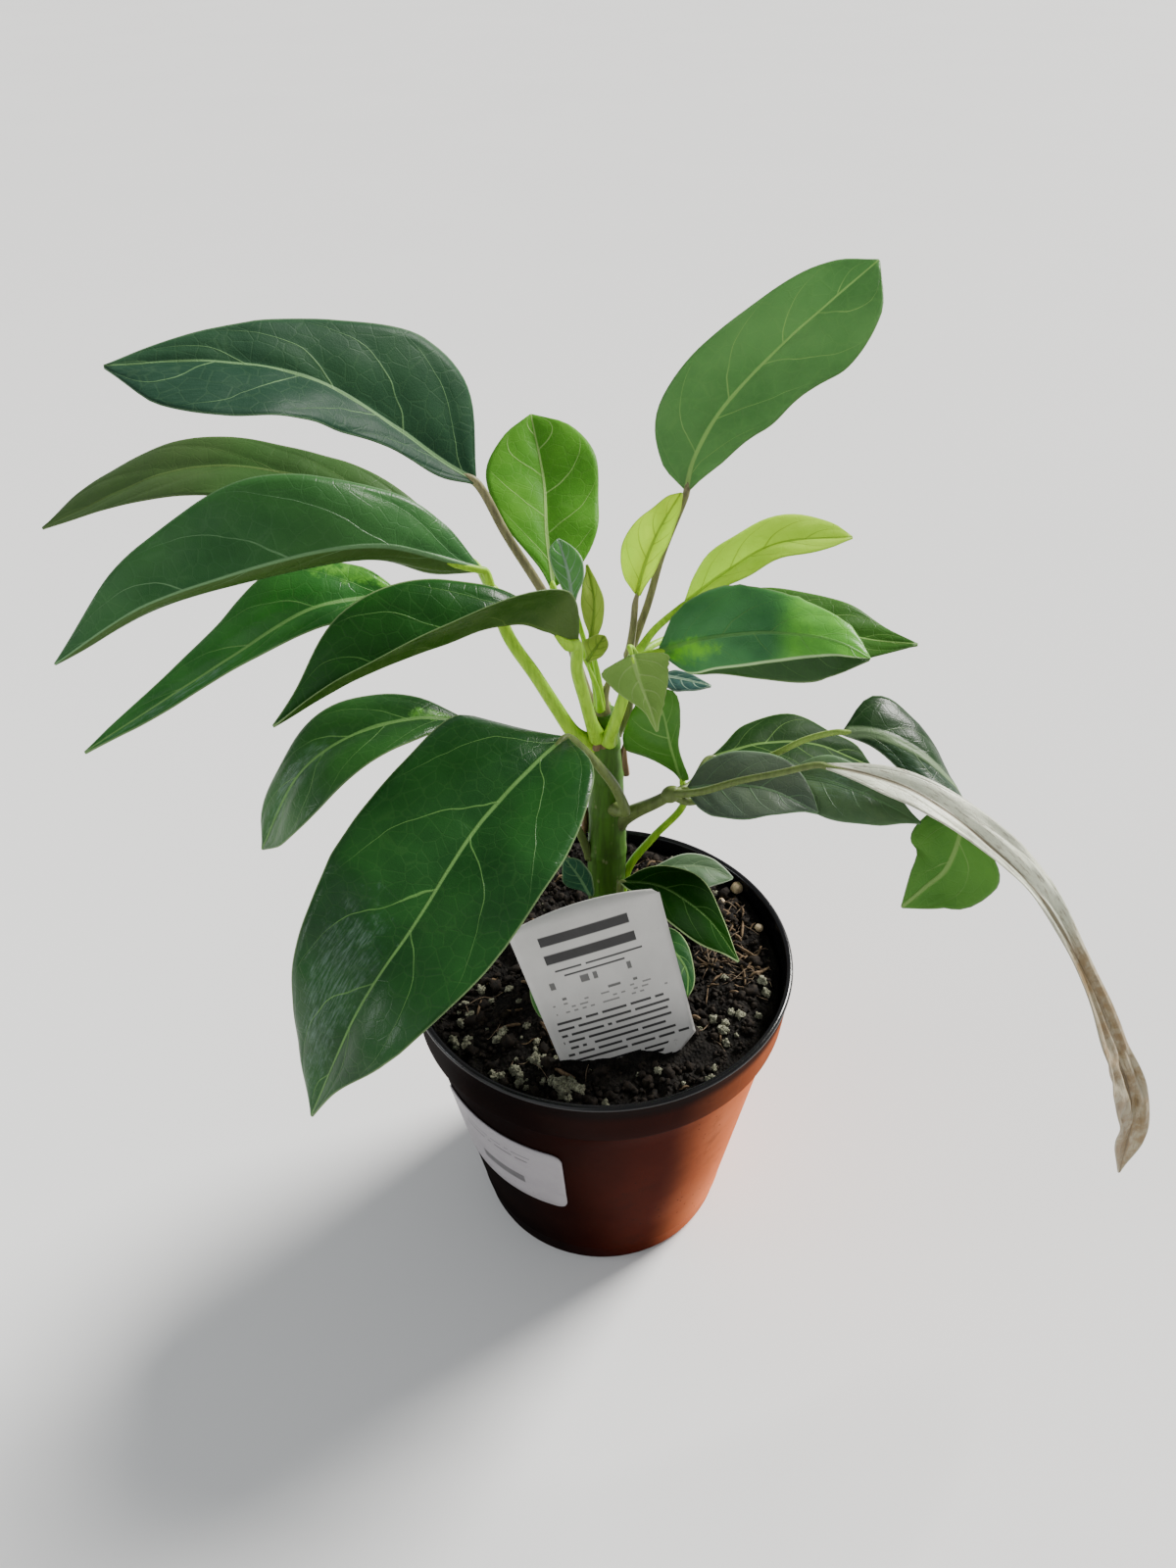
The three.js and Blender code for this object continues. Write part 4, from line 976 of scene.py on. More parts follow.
# Flesh, dark streaks, streak strength, pores and gloss.
STALK_SKINS = {
    "lime": ((0.33, 0.58, 0.035), (0.10, 0.25, 0.012), 0.45, 0.0, 0.40),
    "pale_lime": ((0.24, 0.36, 0.075), (0.11, 0.18, 0.03), 0.45, 0.0, 0.45),
    "khaki": ((0.125, 0.170, 0.050), (0.060, 0.080, 0.026), 0.5, 0.1, 0.45),
    "brown": ((0.24, 0.225, 0.11), (0.095, 0.085, 0.045), 0.6, 0.1, 0.42),
    "bark": ((0.055, 0.145, 0.014), (0.030, 0.062, 0.009), 0.55, 0.35, 0.5),
    "stipule": ((0.24, 0.16, 0.075), (0.10, 0.06, 0.03), 0.8, 0.0, 0.5),
}


def stalk_material(skin, group):
    flesh, dark, streaks, pores, gloss = STALK_SKINS[skin]
    material, w, shader = make_material(f"stalk_{skin}", {
        "Specular IOR Level": 0.15, "Subsurface Weight": 0.15 if skin == "lime" else 0.05,
        "Subsurface Radius": (0.4, 1.0, 0.1), "Subsurface Scale": 0.002})
    look = w.group(group, flesh=flesh, dark=dark, streaks=streaks, pores=pores, gloss=gloss)
    w.dress(shader, look.colour, look.roughness, look.height, 0.00025, 0.7)
    return material


def stalk_tube(points, radius, rings, foot=0.0, tip=1.0):
    """A stalk that swells where it starts, slightly grooved along its length. Its last 8 mm
    narrow to the tip's share of its radius."""
    route = Route(points)

    def radius_at(t):
        left = min(1.0, (1 - t) * route.length / 8)
        thick = mix(radius[0], radius[1], math.sqrt(t)) * mix(tip, 1, left)
        return thick * (1 + foot * math.exp(-t * route.length / 3.5))

    def groove(turn, t):
        return 1 + 0.035 * math.cos(3 * turn) + 0.05 * noise.noise((turn, t * route.length / 12, radius[0]))

    return tube(route, radius_at, rings, 16, groove)


def make_leaf_stalk(name, leaf, blade, paints):
    """The stalk of a whole leaf, run on under the blade's base."""
    route = [*leaf.stalk, leaf.midrib[0], *blade.under_rib(leaf.stalk_radius[1])]
    body = stalk_tube(route, leaf.stalk_radius, 12 * len(route), foot=0.45, tip=0.25)
    settle(make_piece(name + "_stalk", *body, [paints[leaf.stalk_skin]]), "stalk")


def make_jointed_stalk(name, stalk, blades, paints):
    """A main stalk, its swollen joint and a small stalk into each leaflet's base."""
    joint = Vector(stalk.route[-1])
    ahead = Route(stalk.route).along(1)
    knob = [joint - ahead * stalk.joint * 1.3, joint, joint + ahead * stalk.joint * 1.1]

    def knob_radius(t):
        return stalk.joint * max(math.sin(math.pi * mix(0.08, 0.92, t)), 0.2) ** 0.6

    bodies = [stalk_tube(stalk.route, stalk.radius, 60, foot=0.35), tube(Route(knob), knob_radius, 14, 16)]
    kinds = [0] * sum(len(quads) for _, quads in bodies)
    for leaflet, via in stalk.branches.items():
        rib = blades[leaflet].route
        start = rib.at(0)
        lead_in = start - rib.along(0) * BRANCH_STRAIGHT
        route = [tuple(joint), *via, tuple(lead_in), tuple(start),
                 *blades[leaflet].under_rib(BRANCH_RADIUS[1])]
        bodies.append(stalk_tube(route, BRANCH_RADIUS, 12 * len(route), foot=0.3, tip=0.25))
        kinds += [1 if leaflet == stalk.pale_branch else 0] * len(bodies[-1][1])
    skins = [stalk.skin, "pale_lime"] if stalk.pale_branch else [stalk.skin]
    piece = join_bodies(name + "_green", bodies, [paints[skin] for skin in skins], kinds)
    settle(piece, "stem" if stalk.skin == "khaki" else "stalk", name)


def stem_radius(t):
    """The stem's radius with its ringed nodes."""
    ring = sum(math.exp(-((t - n) / 0.012) ** 2) for n in STEM_NODES)
    return smooth_value([0, 0.25, 0.5, 0.75, 1], STEM_RADII, t) + 0.28 * ring


def make_stem(paints):
    """The stem, and thin dry stipules at some of its nodes."""
    def uneven(turn, t):
        rough = noise.noise((math.cos(turn) * 2, math.sin(turn) * 2, t * 14))
        return 1 + 0.03 * math.cos(2 * turn + 5 * t) + 0.03 * rough

    def flat(turn, t):
        return math.hypot(math.cos(turn) * 0.16, math.sin(turn) * 2.4 * (1 - t) ** 0.7 + 0.05)

    body = tube(Route(STEM_ROUTE), stem_radius, 150, 40, uneven)
    settle(make_piece("main_stem_bark", *body, [paints["bark"]]), "stem", "main_stem")
    x, y, foot = STEM_ROUTE[0]
    flakes = []
    for turn, low, high, reach in STIPULES:
        angle = math.radians(turn)
        route = []
        for t in (k / 6 for k in range(7)):
            z = mix(low, high, t)
            out = stem_radius((z - foot) / (STEM_ROUTE[-1][2] - foot)) + 0.25 + reach * t * t
            route.append((x + out * math.cos(angle), y + out * math.sin(angle), z))
        flakes.append(tube(Route(route), lambda t: 1.0, 18, 14, flat))
    settle(join_bodies("dry_stipules", flakes, [paints["stipule"]]), "stem")


def make_shoot(group, paints):
    """The sheath on the stem's top with the three young leaves in it."""
    sheath = stalk_tube(SHEATH_ROUTE, (3.4, 0.8), 24)
    settle(make_piece("young_shoot_sheath", *sheath, [paints["brown"]]), "stalk", "young_shoot")
    for seed, (name, leaf) in enumerate(YOUNG_LEAVES.items(), 60):
        blade = make_blade(name, leaf, seed, group, "leaf_yellow")
        make_leaf_stalk(name, leaf, blade, paints)


# ---------------------------------------------------------------- pot

# The pot's colour and its paler clouds, with light and shade painted in: near black in painted shade at the
# front, dark red, and terracotta in painted sunlight.
POT_SHADE_AND_SUN_COLOURS = (
    ((0.0025, 0.0010, 0.0008), (0.040, 0.0044, 0.0012), (0.62, 0.155, 0.055)),
    ((0.0045, 0.0018, 0.0014), (0.056, 0.0072, 0.0022), (0.72, 0.205, 0.085)),
)
POT_DIRT = (0.010, 0.005, 0.003)
SUN_HEADING = math.radians(38)


def outer_radius(z):
    return mix(BASE_RADIUS, SHOULDER_RADIUS, z / SHOULDER)


def build_wear_group():
    """Scuffs, dust and moulding marks of a thin plastic pot."""
    w, given = make_group("pot_wear", base=(0.2, 0.07, 0.04), pale=(0.3, 0.13, 0.08), dirt_amount=0.4,
                          gloss=0.4)
    here = w.here()
    broad = w.noise(here, 28.0, 4.0)
    scratches = w.step(w.noise(here, 420.0, 2.0, 0.5, stretch=(1.0, 1.0, 0.06)), 0.66, 0.72)
    specks = w.step(w.cells(here, 330.0), 0.08, 0.16, 1.0, 0.0) * w.step(broad, 0.5, 0.62)
    smears = w.step(w.noise(here, 60.0, 5.0, 0.7), 0.52, 0.75) * given.dirt_amount
    colour = w.layers(
        given.base,
        (w.step(broad, 0.3, 0.7), given.pale),
        (scratches * 0.3, given.pale),
        (smears, POT_DIRT),
        (specks * 0.8, POT_DIRT))
    return w.give(colour=colour, roughness=given.gloss + (broad * 0.22 - 0.11) + smears * 0.25,
                  height=w.noise(here, 700.0, 3.0) * 0.3 - scratches * 0.5 + broad * 0.6)


def painted_sun_and_shade(w):
    """Painted light and shade on the pot's wall: how far it has turned from near black in painted shade to
    dark red, and on to terracotta in painted sunlight, round its side.
    """
    x, y, z = w.apart(w.here())
    facing = (x * math.cos(SUN_HEADING) + y * math.sin(SUN_HEADING)) / w.math("SQRT", x ** 2 + y ** 2)
    turned = facing + (w.noise(w.here(), 30.0, 3.0) * 0.2 - 0.1)
    below_lip = w.step(z, 0.0965, 0.0985, 1.0, 0.45) * w.step(z, 0.107, 0.112, 1.0, 0.15)
    return [w.step(turned, low, high) * below_lip for low, high in ((-1.0, -0.25), (-0.32, 0.28))]


def pot_materials(group):
    """The pot's outside, with light and shade painted round it, and its black lining."""
    outside, w, shader = make_material("pot_outside", {
        "Specular IOR Level": 0.0, "Coat Weight": 0.06, "Coat Roughness": 0.32})
    # Painted shade on the side away from the sun, painted sunlight on the side towards it.
    half_lit_share, sunlit_share = painted_sun_and_shade(w)
    base, pale = (w.layers(w.mix(half_lit_share, dark, red), (sunlit_share, sunlit_colour))
                  for dark, red, sunlit_colour in POT_SHADE_AND_SUN_COLOURS)
    look = w.group(group, base=base, pale=pale, dirt_amount=0.35, gloss=0.42)
    w.dress(shader, look.colour, look.roughness, look.height, 0.0002, 0.5)
    lining, w, shader = make_material("pot_black_lining", {"Specular IOR Level": 0.3})
    look = w.group(group, base=(0.003, 0.003, 0.0035), pale=(0.008, 0.008, 0.009), dirt_amount=0.5,
                   gloss=0.22)
    w.dress(shader, look.colour, look.roughness, look.height, 0.0002, 0.5)
    return [outside, lining]


def make_pot(group):
    foot = COLLAR_FOOT_RADIUS
    outside = [(BASE_RADIUS - 2.5, 0), (BASE_RADIUS - 0.9, 0.3), (outer_radius(1.2) - 0.2, 1.2)]
    outside += [(outer_radius(z), z) for z in (2.5, 9.7)]
    outside += [(outer_radius(10) + 0.18, 10), (outer_radius(10.6) + 0.18, 10.6), (outer_radius(11), 11)]
    outside += [(outer_radius(z), z) for z in (30, 50, 70, 88, SHOULDER - 0.6)]
    outside += [(SHOULDER_RADIUS + 0.25, SHOULDER - 0.15), (foot - 0.5, SHOULDER),
                (foot - 0.1, SHOULDER + 0.35), (foot + 0.1, SHOULDER + 1.2)]
    outside += [(mix(foot, RIM_RADIUS - 0.4, k), mix(SHOULDER, POT_HEIGHT - 2, k)) for k in (0.35, 0.7, 0.97)]
    rim = []
    for turn in (math.pi * k / 8 for k in range(9)):
        rim.append((RIM_RADIUS - RIM_ROUND + RIM_ROUND * math.cos(turn),
                    POT_HEIGHT - RIM_ROUND + RIM_ROUND * math.sin(turn)))
    inside = [(foot - WALL - 0.2, SHOULDER + 1.5), (SHOULDER_RADIUS - WALL, SHOULDER - 1),
              (outer_radius(50) - WALL, 50), (outer_radius(FLOOR + 3) - WALL, FLOOR + 3),
              (BASE_RADIUS - WALL - 2.5, FLOOR)]
    profile = outside + rim + inside
    points = [(x, y, z) for radius, z in profile for x, y in circle(radius, POT_SIDES)]
    faces = strip_faces(0, len(profile) - 1, POT_SIDES, wrap=True)
    kinds = [0 if k // POT_SIDES < len(outside) else 1 for k in range(len(faces))]
    piece = make_piece("pot_shell", points, faces, pot_materials(group), kinds)
    add_pot_base(piece, len(profile))
    settle(piece, "pot", "pot")


def add_pot_base(piece, rings):
    """Closes the base above and below, round its drain holes."""
    work = bmesh.new()
    work.from_mesh(piece.data)
    work.verts.ensure_lookup_table()
    holes = {}
    for z, first in ((0, 0), (FLOOR, (rings - 1) * POT_SIDES)):
        rim = [work.verts[first + s] for s in range(POT_SIDES)]
        holes[z] = []
        for x, y in circle(DRAIN_RING, DRAIN_HOLES, 0.5):
            ring = [((x + dx) * MM, (y + dy) * MM, z * MM) for dx, dy in circle(DRAIN_RADIUS, DRAIN_SIDES)]
            holes[z].append([work.verts.new(spot) for spot in ring])
        edges = []
        for ring in [rim, *holes[z]]:
            for a, b in zip(ring, ring[1:] + ring[:1]):
                edges.append(work.edges.get((a, b)) or work.edges.new((a, b)))
        filled = bmesh.ops.triangle_fill(work, edges=edges, use_beauty=True, normal=(0, 0, 1 if z else -1))
        for face in filled["geom"]:
            if isinstance(face, bmesh.types.BMFace):
                face.material_index = 1 if z else 0
        work.verts.ensure_lookup_table()
    for low, high in zip(holes[0], holes[FLOOR]):
        for k in range(DRAIN_SIDES):
            n = (k + 1) % DRAIN_SIDES
            work.faces.new((low[k], low[n], high[n], high[k]))
    bmesh.ops.recalc_face_normals(work, faces=work.faces)
    work.to_mesh(piece.data)
    work.free()


# ---------------------------------------------------------------- soil


def soil_surface(x, y):
    """The crumbly top of the soil, which falls a little at the pot's wall."""
    crumbs = math.sin(x * 0.31 + 1) * math.cos(y * 0.27) + 0.6 * math.sin(x * 0.11 - y * 0.17)
    lumps = noise.fractal((x / 7, y / 7, 1.7), 1.0, 2.0, 5) * 1.5
    grit = noise.noise((x / 1.3, y / 1.3, 5.0)) * 0.55
    pits = -1.2 * max(0.0, noise.noise((x / 4.2, y / 4.2, 9.0)) - 0.25)
    fall = 1.5 * max(0.0, (math.hypot(x, y) - 56) / 5) ** 2
    return SOIL_MIDDLE + SOIL_RISE * y + 0.8 * crumbs + lumps + grit + pits - fall


def soil_material():
    material, w, shader = make_material("damp_peat", {"Specular IOR Level": 0.12})
    here = w.here()
    lumps = w.noise(here, 260.0, 6.0, 0.7)
    grains = w.cells(here, 900.0)
    colour = w.mix(w.step(lumps, 0.35, 0.75), (0.0025, 0.0021, 0.0018), (0.014, 0.011, 0.008))
    colour = w.mix(w.step(w.noise(here, 1500.0, 2.0), 0.68, 0.76, 0.0, 0.5), colour, (0.09, 0.065, 0.038))
    w.dress(shader, colour, w.step(lumps, 0.3, 0.7, 0.95, 0.7), lumps + grains * 0.5, 0.0012)
    return material


def make_soil():
    points = []
    for radius, z in ((BASE_RADIUS - WALL - 3.2, FLOOR + 0.5),
                      (outer_radius(FLOOR + 4) - WALL - 0.5, FLOOR + 4),
                      (SHOULDER_RADIUS - WALL - 0.7, SHOULDER - 1.6)):
        points += [(x, y, z) for x, y in circle(radius, SOIL_SIDES)]
    for r in range(SOIL_RINGS, 0, -1):
        ring = circle(SOIL_EDGE_RADIUS * r / SOIL_RINGS, SOIL_SIDES, 0.5 * (r % 2))
        points += [(x, y, soil_surface(x, y)) for x, y in ring]
    points.append((0, 0, soil_surface(0, 0)))
    middle = len(points) - 1
    last = middle - SOIL_SIDES
    faces = strip_faces(0, last // SOIL_SIDES, SOIL_SIDES, wrap=True)
    faces += [(last + s, last + (s + 1) % SOIL_SIDES, middle) for s in range(SOIL_SIDES)]
    faces.append(tuple(range(SOIL_SIDES))[::-1])
    settle(make_piece("soil_bed", points, faces, [soil_material()]), "soil", "soil")


def lump_shape(detail):
    """A unit ball's points and faces."""
    ball = bmesh.new()
    bmesh.ops.create_icosphere(ball, subdivisions=detail, radius=1.0)
    points = [v.co.copy() for v in ball.verts]
    faces = [tuple(v.index for v in f.verts) for f in ball.faces]
    ball.free()
    return points, faces


def scatter_lumps(name, material, draws, detail, rough):
    """One piece of many uneven lumps. Each draw is a place, a size, its squash and its turn."""
    ball, quads = lump_shape(detail)
    lumps = []
    for i, (x, y, z, size, squash, turn) in enumerate(draws):
        spin = Matrix.Rotation(turn, 3, "Z") @ Matrix.Rotation(turn * 1.7, 3, "X")
        points = []
        for p in ball:
            bump = 1 + rough * noise.noise(p * 1.6 + Vector((i * 3.1, i * 1.7, 0)))
            bump += rough * 0.5 * noise.noise(p * 4.0 + Vector((i * 2.3, 0, i * 1.1)))
            q = spin @ Vector((p.x * bump, p.y * bump * squash, p.z * bump * mix(squash, 1, 0.4)))
            points.append(Vector((x, y, z)) + q * size)
        lumps.append((points, quads))
    settle(join_bodies(name, lumps, [material]), "soil")


def clear_of_stem(x, y, size):
    return math.hypot(x - STEM_ROUTE[0][0], y - STEM_ROUTE[0][1]) > 6.6 + size


def clear_of_label(x, y, size):
    """The label's foot is a thin bar across the soil."""
    dx, dy = x - LABEL["foot"][0], y - LABEL["foot"][1]
    turn = math.radians(LABEL["turn"])
    along = dx * math.cos(turn) + dy * math.sin(turn)
    off = -dx * math.sin(turn) + dy * math.cos(turn)
    return abs(along) > 24 or off > 4 + size or off < -1.5 - size


def draw_places(draw, count, low, high, sunk, bias=None):
    """Seeded places on the soil's top, with sizes drawn mostly small."""
    places = []
    while len(places) < count:
        size = mix(low, high, draw.random() ** 2.0)
        turn = draw.uniform(0, math.tau)
        away = (SOIL_REACH - size) * math.sqrt(draw.random())
        x, y = away * math.cos(turn), away * math.sin(turn)
        if bias and draw.random() > bias(x, y):
            continue
        if clear_of_stem(x, y, size) and clear_of_label(x, y, size):
            places.append((x, y, soil_surface(x, y) + size * sunk, size, draw.uniform(0.6, 1.0), turn))
    return places


def plain_material(name, dark, light, scale, rough, bump=0.0004, porous=0.0):
    material, w, shader = make_material(name, {"Specular IOR Level": 0.15})
    here = w.here()
    clouds = w.noise(here, scale, 5.0, 0.65)
    colour = w.mix(w.step(clouds, 0.3, 0.7), dark, light)
    height = clouds
    if porous:
        pits = w.step(w.cells(here, scale * 2.6), 0.12, 0.42)
        colour = w.mix(pits * -porous + porous, colour, tuple(c * 0.25 for c in dark))
        height = clouds + pits
    w.dress(shader, colour, w.step(clouds, 0.2, 0.8, rough - 0.08, rough + 0.08), height, bump)
    return material


def mostly_front_left(x, y):
    """The chance that a granule stays where it was drawn."""
    return 0.95 if x + y < -38 else 0.35 if y < -10 else 0.16


# Clusters of pale granules: x, y, how many and how big.
GRANULE_CLUSTERS = (
    (-26, -47, 4, 2.0), (-12, -50, 7, 2.2), (-14, -46, 4, 1.8), (-34, -30, 5, 1.9), (-46, -33, 4, 2.1),
    (-44, -20, 3, 1.7), (41, -27, 3, 1.8), (46, -22, 2, 1.6), (34, -44, 4, 1.9), (54, -10, 2, 1.6),
    (-30, -42, 3, 1.8), (-22, -36, 4, 1.6))
# Seed husks: x, y, how far above the soil, size, squash and turn.
SEED_HUSKS = ((50, 35, 1.2, 2.3, 0.95, 0.4), (44, 29, 0.8, 1.5, 0.8, 2.0), (13, 21, 1.0, 1.9, 0.85, 1.0),
              (56, 16, 0.8, 1.6, 0.9, 3.0))


def make_soil_bits():
    draw = random.Random(20)
    peat = plain_material("peat_crumb", (0.0025, 0.002, 0.0018), (0.022, 0.016, 0.011), 500.0, 0.85, 0.0006)
    scatter_lumps("peat_crumbs_small", peat, draw_places(draw, 2300, 0.45, 1.3, 0.15), 1, 0.9)
    scatter_lumps("peat_crumbs_large", peat, draw_places(draw, 420, 1.1, 2.7, 0.1), 2, 0.9)
    pale = plain_material("pale_granule", (0.10, 0.10, 0.065), (0.32, 0.32, 0.23), 700.0, 0.85, 0.0006,
                          porous=0.6)
    grains = draw_places(draw, 90, 0.5, 1.6, 0.25, mostly_front_left)
    for x, y, count, size in GRANULE_CLUSTERS:
        for _ in range(count):
            px, py = x + draw.gauss(0, 1.9), y + draw.gauss(0, 1.9)
            lump = size * draw.uniform(0.55, 1.05)
            if math.hypot(px, py) < 58 and clear_of_label(px, py, lump):
                z = soil_surface(px, py) + lump * 0.35
                grains.append((px, py, z, lump, draw.uniform(0.7, 1.0), draw.uniform(0, 6)))
    scatter_lumps("pale_granules", pale, grains, 3, 0.75)
    husk = plain_material("seed_skin", (0.30, 0.22, 0.12), (0.62, 0.50, 0.33), 300.0, 0.5)
    seeds = [(x, y, soil_surface(x, y) + above, *rest) for x, y, above, *rest in SEED_HUSKS]
    scatter_lumps("seed_husks", husk, seeds, 3, 0.12)
    straw = plain_material("bark_sliver", (0.045, 0.028, 0.015), (0.19, 0.13, 0.075), 420.0, 0.8)
    fibre = plain_material("root_fibre", (0.07, 0.045, 0.028), (0.24, 0.18, 0.12), 420.0, 0.75)
    make_fibres(draw, "bark_slivers", straw, 120, (3, 9), (0.35, 0.95), 0.45)
    make_fibres(draw, "root_fibres", fibre, 110, (5, 14), (0.10, 0.22), 1.0)


def make_fibres(draw, name, material, count, length, radius, flat):
    """Slivers or fibres that lie on the soil, most of them at the back right."""
    def squash(turn, t):
        return math.hypot(math.cos(turn) * flat, math.sin(turn))

    tubes = []
    while len(tubes) < count:
        if draw.random() < 0.68:
            turn, away = math.radians(draw.gauss(28, 24)), draw.uniform(36, 57)
        else:
            turn, away = draw.uniform(0, math.tau), 56 * math.sqrt(draw.random())
        x, y = away * math.cos(turn), away * math.sin(turn)
        if not (clear_of_stem(x, y, 3) and clear_of_label(x, y, 2)):
            continue
        heading = draw.uniform(0, math.tau)
        bend = draw.uniform(-0.5, 0.5)
        long = draw.uniform(*length)
        route = []
        for part in (k / 4 for k in range(5)):
            ahead = long * (part - 0.5)
            px = x + ahead * math.cos(heading + bend * part)
            py = y + ahead * math.sin(heading + bend * part)
            scale = min(1.0, SOIL_REACH / max(math.hypot(px, py), 1e-6))
            px, py = px * scale, py * scale
            route.append((px, py, soil_surface(px, py) + draw.uniform(0.1, 1.1)))
        thick = draw.uniform(*radius)

        def radius_at(t, thick=thick):
            return thick * (0.35 + 0.65 * math.sin(math.pi * mix(0.12, 0.9, t)))

        tubes.append(tube(Route(route), radius_at, 8, 6, squash))
    settle(join_bodies(name, tubes, [material]), "soil")


# ---------------------------------------------------------------- plant label and sticker

# Blocks of plain bars: low, high, pitch, fill, reach, darkness and breaks.
LABEL_BARS = (
    (46.5, 60.0, 6.6, 0.52, 0.74, 1.0, 0.0), (42.0, 46.0, 2.2, 0.3, 0.6, 0.95, 0.08),
    (34.0, 41.5, 6.2, 0.42, 0.85, 0.8, 0.7), (28.5, 33.5, 1.6, 0.4, 0.8, 0.6, 0.6),
    (9.2, 27.5, 2.5, 0.36, 0.92, 0.95, 0.1), (1.0, 8.5, 2.4, 0.46, 0.86, 1.0, 0.06))
STICKER_BARS = ((24.0, 30.0, 3.2, 0.26, 0.7, 0.75, 0.15), (8.0, 16.0, 8.0, 0.6, 0.42, 0.7, 0.0))
BAR_COLOUR = (0.007, 0.006, 0.007)
# Moves a sheet's back off the printed bars.
OFF_PRINT = 9


def build_print_group():
    """Plain grey bars in rows on a sheet, each row with its own ends and breaks."""
    w, given = make_group("printed_bars", across=0.0, along=0.0, low=0.0, high=1.0, pitch=3.0, fill=0.4,
                          reach=0.8, breaks=0.0)
    row = w.math("FLOOR", given.along / given.pitch)
    inside = w.math("FRACT", given.along / given.pitch)
    line = w.step(inside, 0.18, 0.26) * w.step(inside, given.fill + 0.18, given.fill + 0.26, 1.0, 0.0)
    ragged = w.chance(row)
    width = abs(given.across + ragged * 0.1) < given.reach - ragged * 0.22
    zone = (given.along > given.low) * (given.along < given.high)
    cell = w.math("FLOOR", given.across * 17.0 + ragged * 9.0)
    kept = w.chance(row * 37.0 + cell) > given.breaks
    return w.give(bars=line * width * zone * kept)


def sheet_material(name, group, tint, bars, rough):
    material, w, shader = make_material(name, {"Coat Weight": 0.1, "Coat Roughness": 0.3})
    across, along, _ = w.apart(w.map("sheet"))
    here = w.here()
    clouds = w.noise(here, 60.0, 4.0)
    dirt = w.step(w.noise(here, 500.0, 4.0, 0.7), 0.58, 0.74) * w.step(along, 4.0, 14.0, 0.75, 0.06)
    colour = w.mix(w.step(clouds, 0.35, 0.7), tint, tuple(c * 0.9 for c in tint))
    for low, high, pitch, fill, reach, darkness, breaks in bars:
        block = w.group(group, across=across, along=along, low=low, high=high, pitch=pitch, fill=fill,
                        reach=reach, breaks=breaks)
        colour = w.mix(block.bars * darkness, colour, BAR_COLOUR)
    colour = w.mix(dirt, colour, (0.06, 0.045, 0.03))
    creases = clouds + w.noise(here, 1800.0, 2.0) * 0.15
    w.dress(shader, colour, w.step(clouds, 0.3, 0.7, rough, rough + 0.12), creases, 0.0004)
    return material


def label_half_width(v):
    """Half the label's breadth at a height above its foot, or below it on the spike."""
    half, cut = LABEL["width"] / 2, LABEL["corner_cut"]
    spike_half, spike_length = LABEL["spike"]
    if v < -2:
        return smooth_value([-spike_length, -spike_length + 6, -2], [0.6, spike_half / 2, spike_half], v)
    if v < cut:
        return mix(spike_half, half, (v + 2) / (cut + 2))
    return mix(half, half + LABEL["top_spread"], (v - cut) / (LABEL["height"] - cut))


def make_label(group):
    """A thin plastic sheet with an arched top and cut lower corners, slightly bowed."""
    height, cut, columns = LABEL["height"], LABEL["corner_cut"], LABEL["columns"]
    top_half = LABEL["width"] / 2 + LABEL["top_spread"]
    turned = (Matrix.Translation(LABEL["foot"]) @ Matrix.Rotation(math.radians(LABEL["turn"]), 4, "Z")
              @ Matrix.Rotation(math.radians(90 - LABEL["lean_back"]), 4, "X")
              @ Matrix.Rotation(math.radians(LABEL["tilt_left"]), 4, "Z"))
    rows = [-LABEL["spike"][1], -27, -24, -20, -15, -10, -5, -2, 0, 3, 6, cut]
    rows += [cut + k * 2.5 for k in range(1, 20)] + [height - 3, height - 2, height - 1.2]
    front, back, plan = [], [], []
    for r in range(len(rows) + 1):
        for c in range(columns):
            u = -1 + 2 * c / (columns - 1)
            if r < len(rows):
                v = rows[r]
                x = u * label_half_width(v)
            else:
                corner = 1.6 * (1 - math.sqrt(max(0.0, 1 - max(0.0, (abs(u) - 0.9) / 0.1) ** 2)))
                v = height + LABEL["arch_rise"] * (1 - u * u) - corner
                x = u * (top_half - 0.2)
            bow = 0.5 * (u * u - 0.4) * min(1, max(0, v / 20))
            for side, sheet in ((1, front), (-1, back)):
                sheet.append(turned @ Vector((x, v, side * LABEL["thick"] / 2 * 0.9 - bow)))
            plan.append((u, v))
    white = sheet_material("label_plastic", group, (0.60, 0.585, 0.56), LABEL_BARS, 0.4)
    bare = [(u + OFF_PRINT, v) for u, v in plan]
    piece = make_piece("plant_label_sheet", front + back, sheet_faces(len(rows), columns), [white],
                       maps={"sheet": plan + bare})
    settle(piece, "label", "plant_label")


def make_sticker(group):
    """A thin label with round corners, bent round the pot's wall."""
    columns, rows, corner = STICKER["columns"], STICKER["rows"], STICKER["corner"]
    outer, inner, plan = [], [], []
    middle = (STICKER["top"] + STICKER["bottom"]) / 2
    half_height = (STICKER["top"] - STICKER["bottom"]) / 2
    half_width = math.radians(STICKER["half"]) * outer_radius(middle)
    for c in range(columns + 1):
        across = -1 + 2 * c / columns
        turn = math.radians(STICKER["middle"] + STICKER["half"] * across)
        from_end = (1 - abs(across)) * half_width
        drop = corner - math.sqrt(corner ** 2 - (corner - from_end) ** 2) if from_end < corner else 0
        for r in range(rows + 1):
            z = middle + (half_height - drop) * (1 - 2 * r / rows)
            radius = outer_radius(z) + STICKER["off_wall"]
            for sheet, out in ((outer, STICKER["thick"] - 0.25), (inner, -0.15)):
                sheet.append(((radius + out) * math.cos(turn), (radius + out) * math.sin(turn), z))
            plan.append((across, z - STICKER["bottom"]))
    paper = sheet_material("sticker_paper", group, (0.28, 0.26, 0.275), STICKER_BARS, 0.42)
    piece = make_piece("pot_sticker_skin", outer + inner, sheet_faces(columns, rows + 1), [paper],
                       maps={"sheet": plan * 2})
    settle(piece, "sticker", "pot_sticker")


# ---------------------------------------------------------------- floor, light and camera

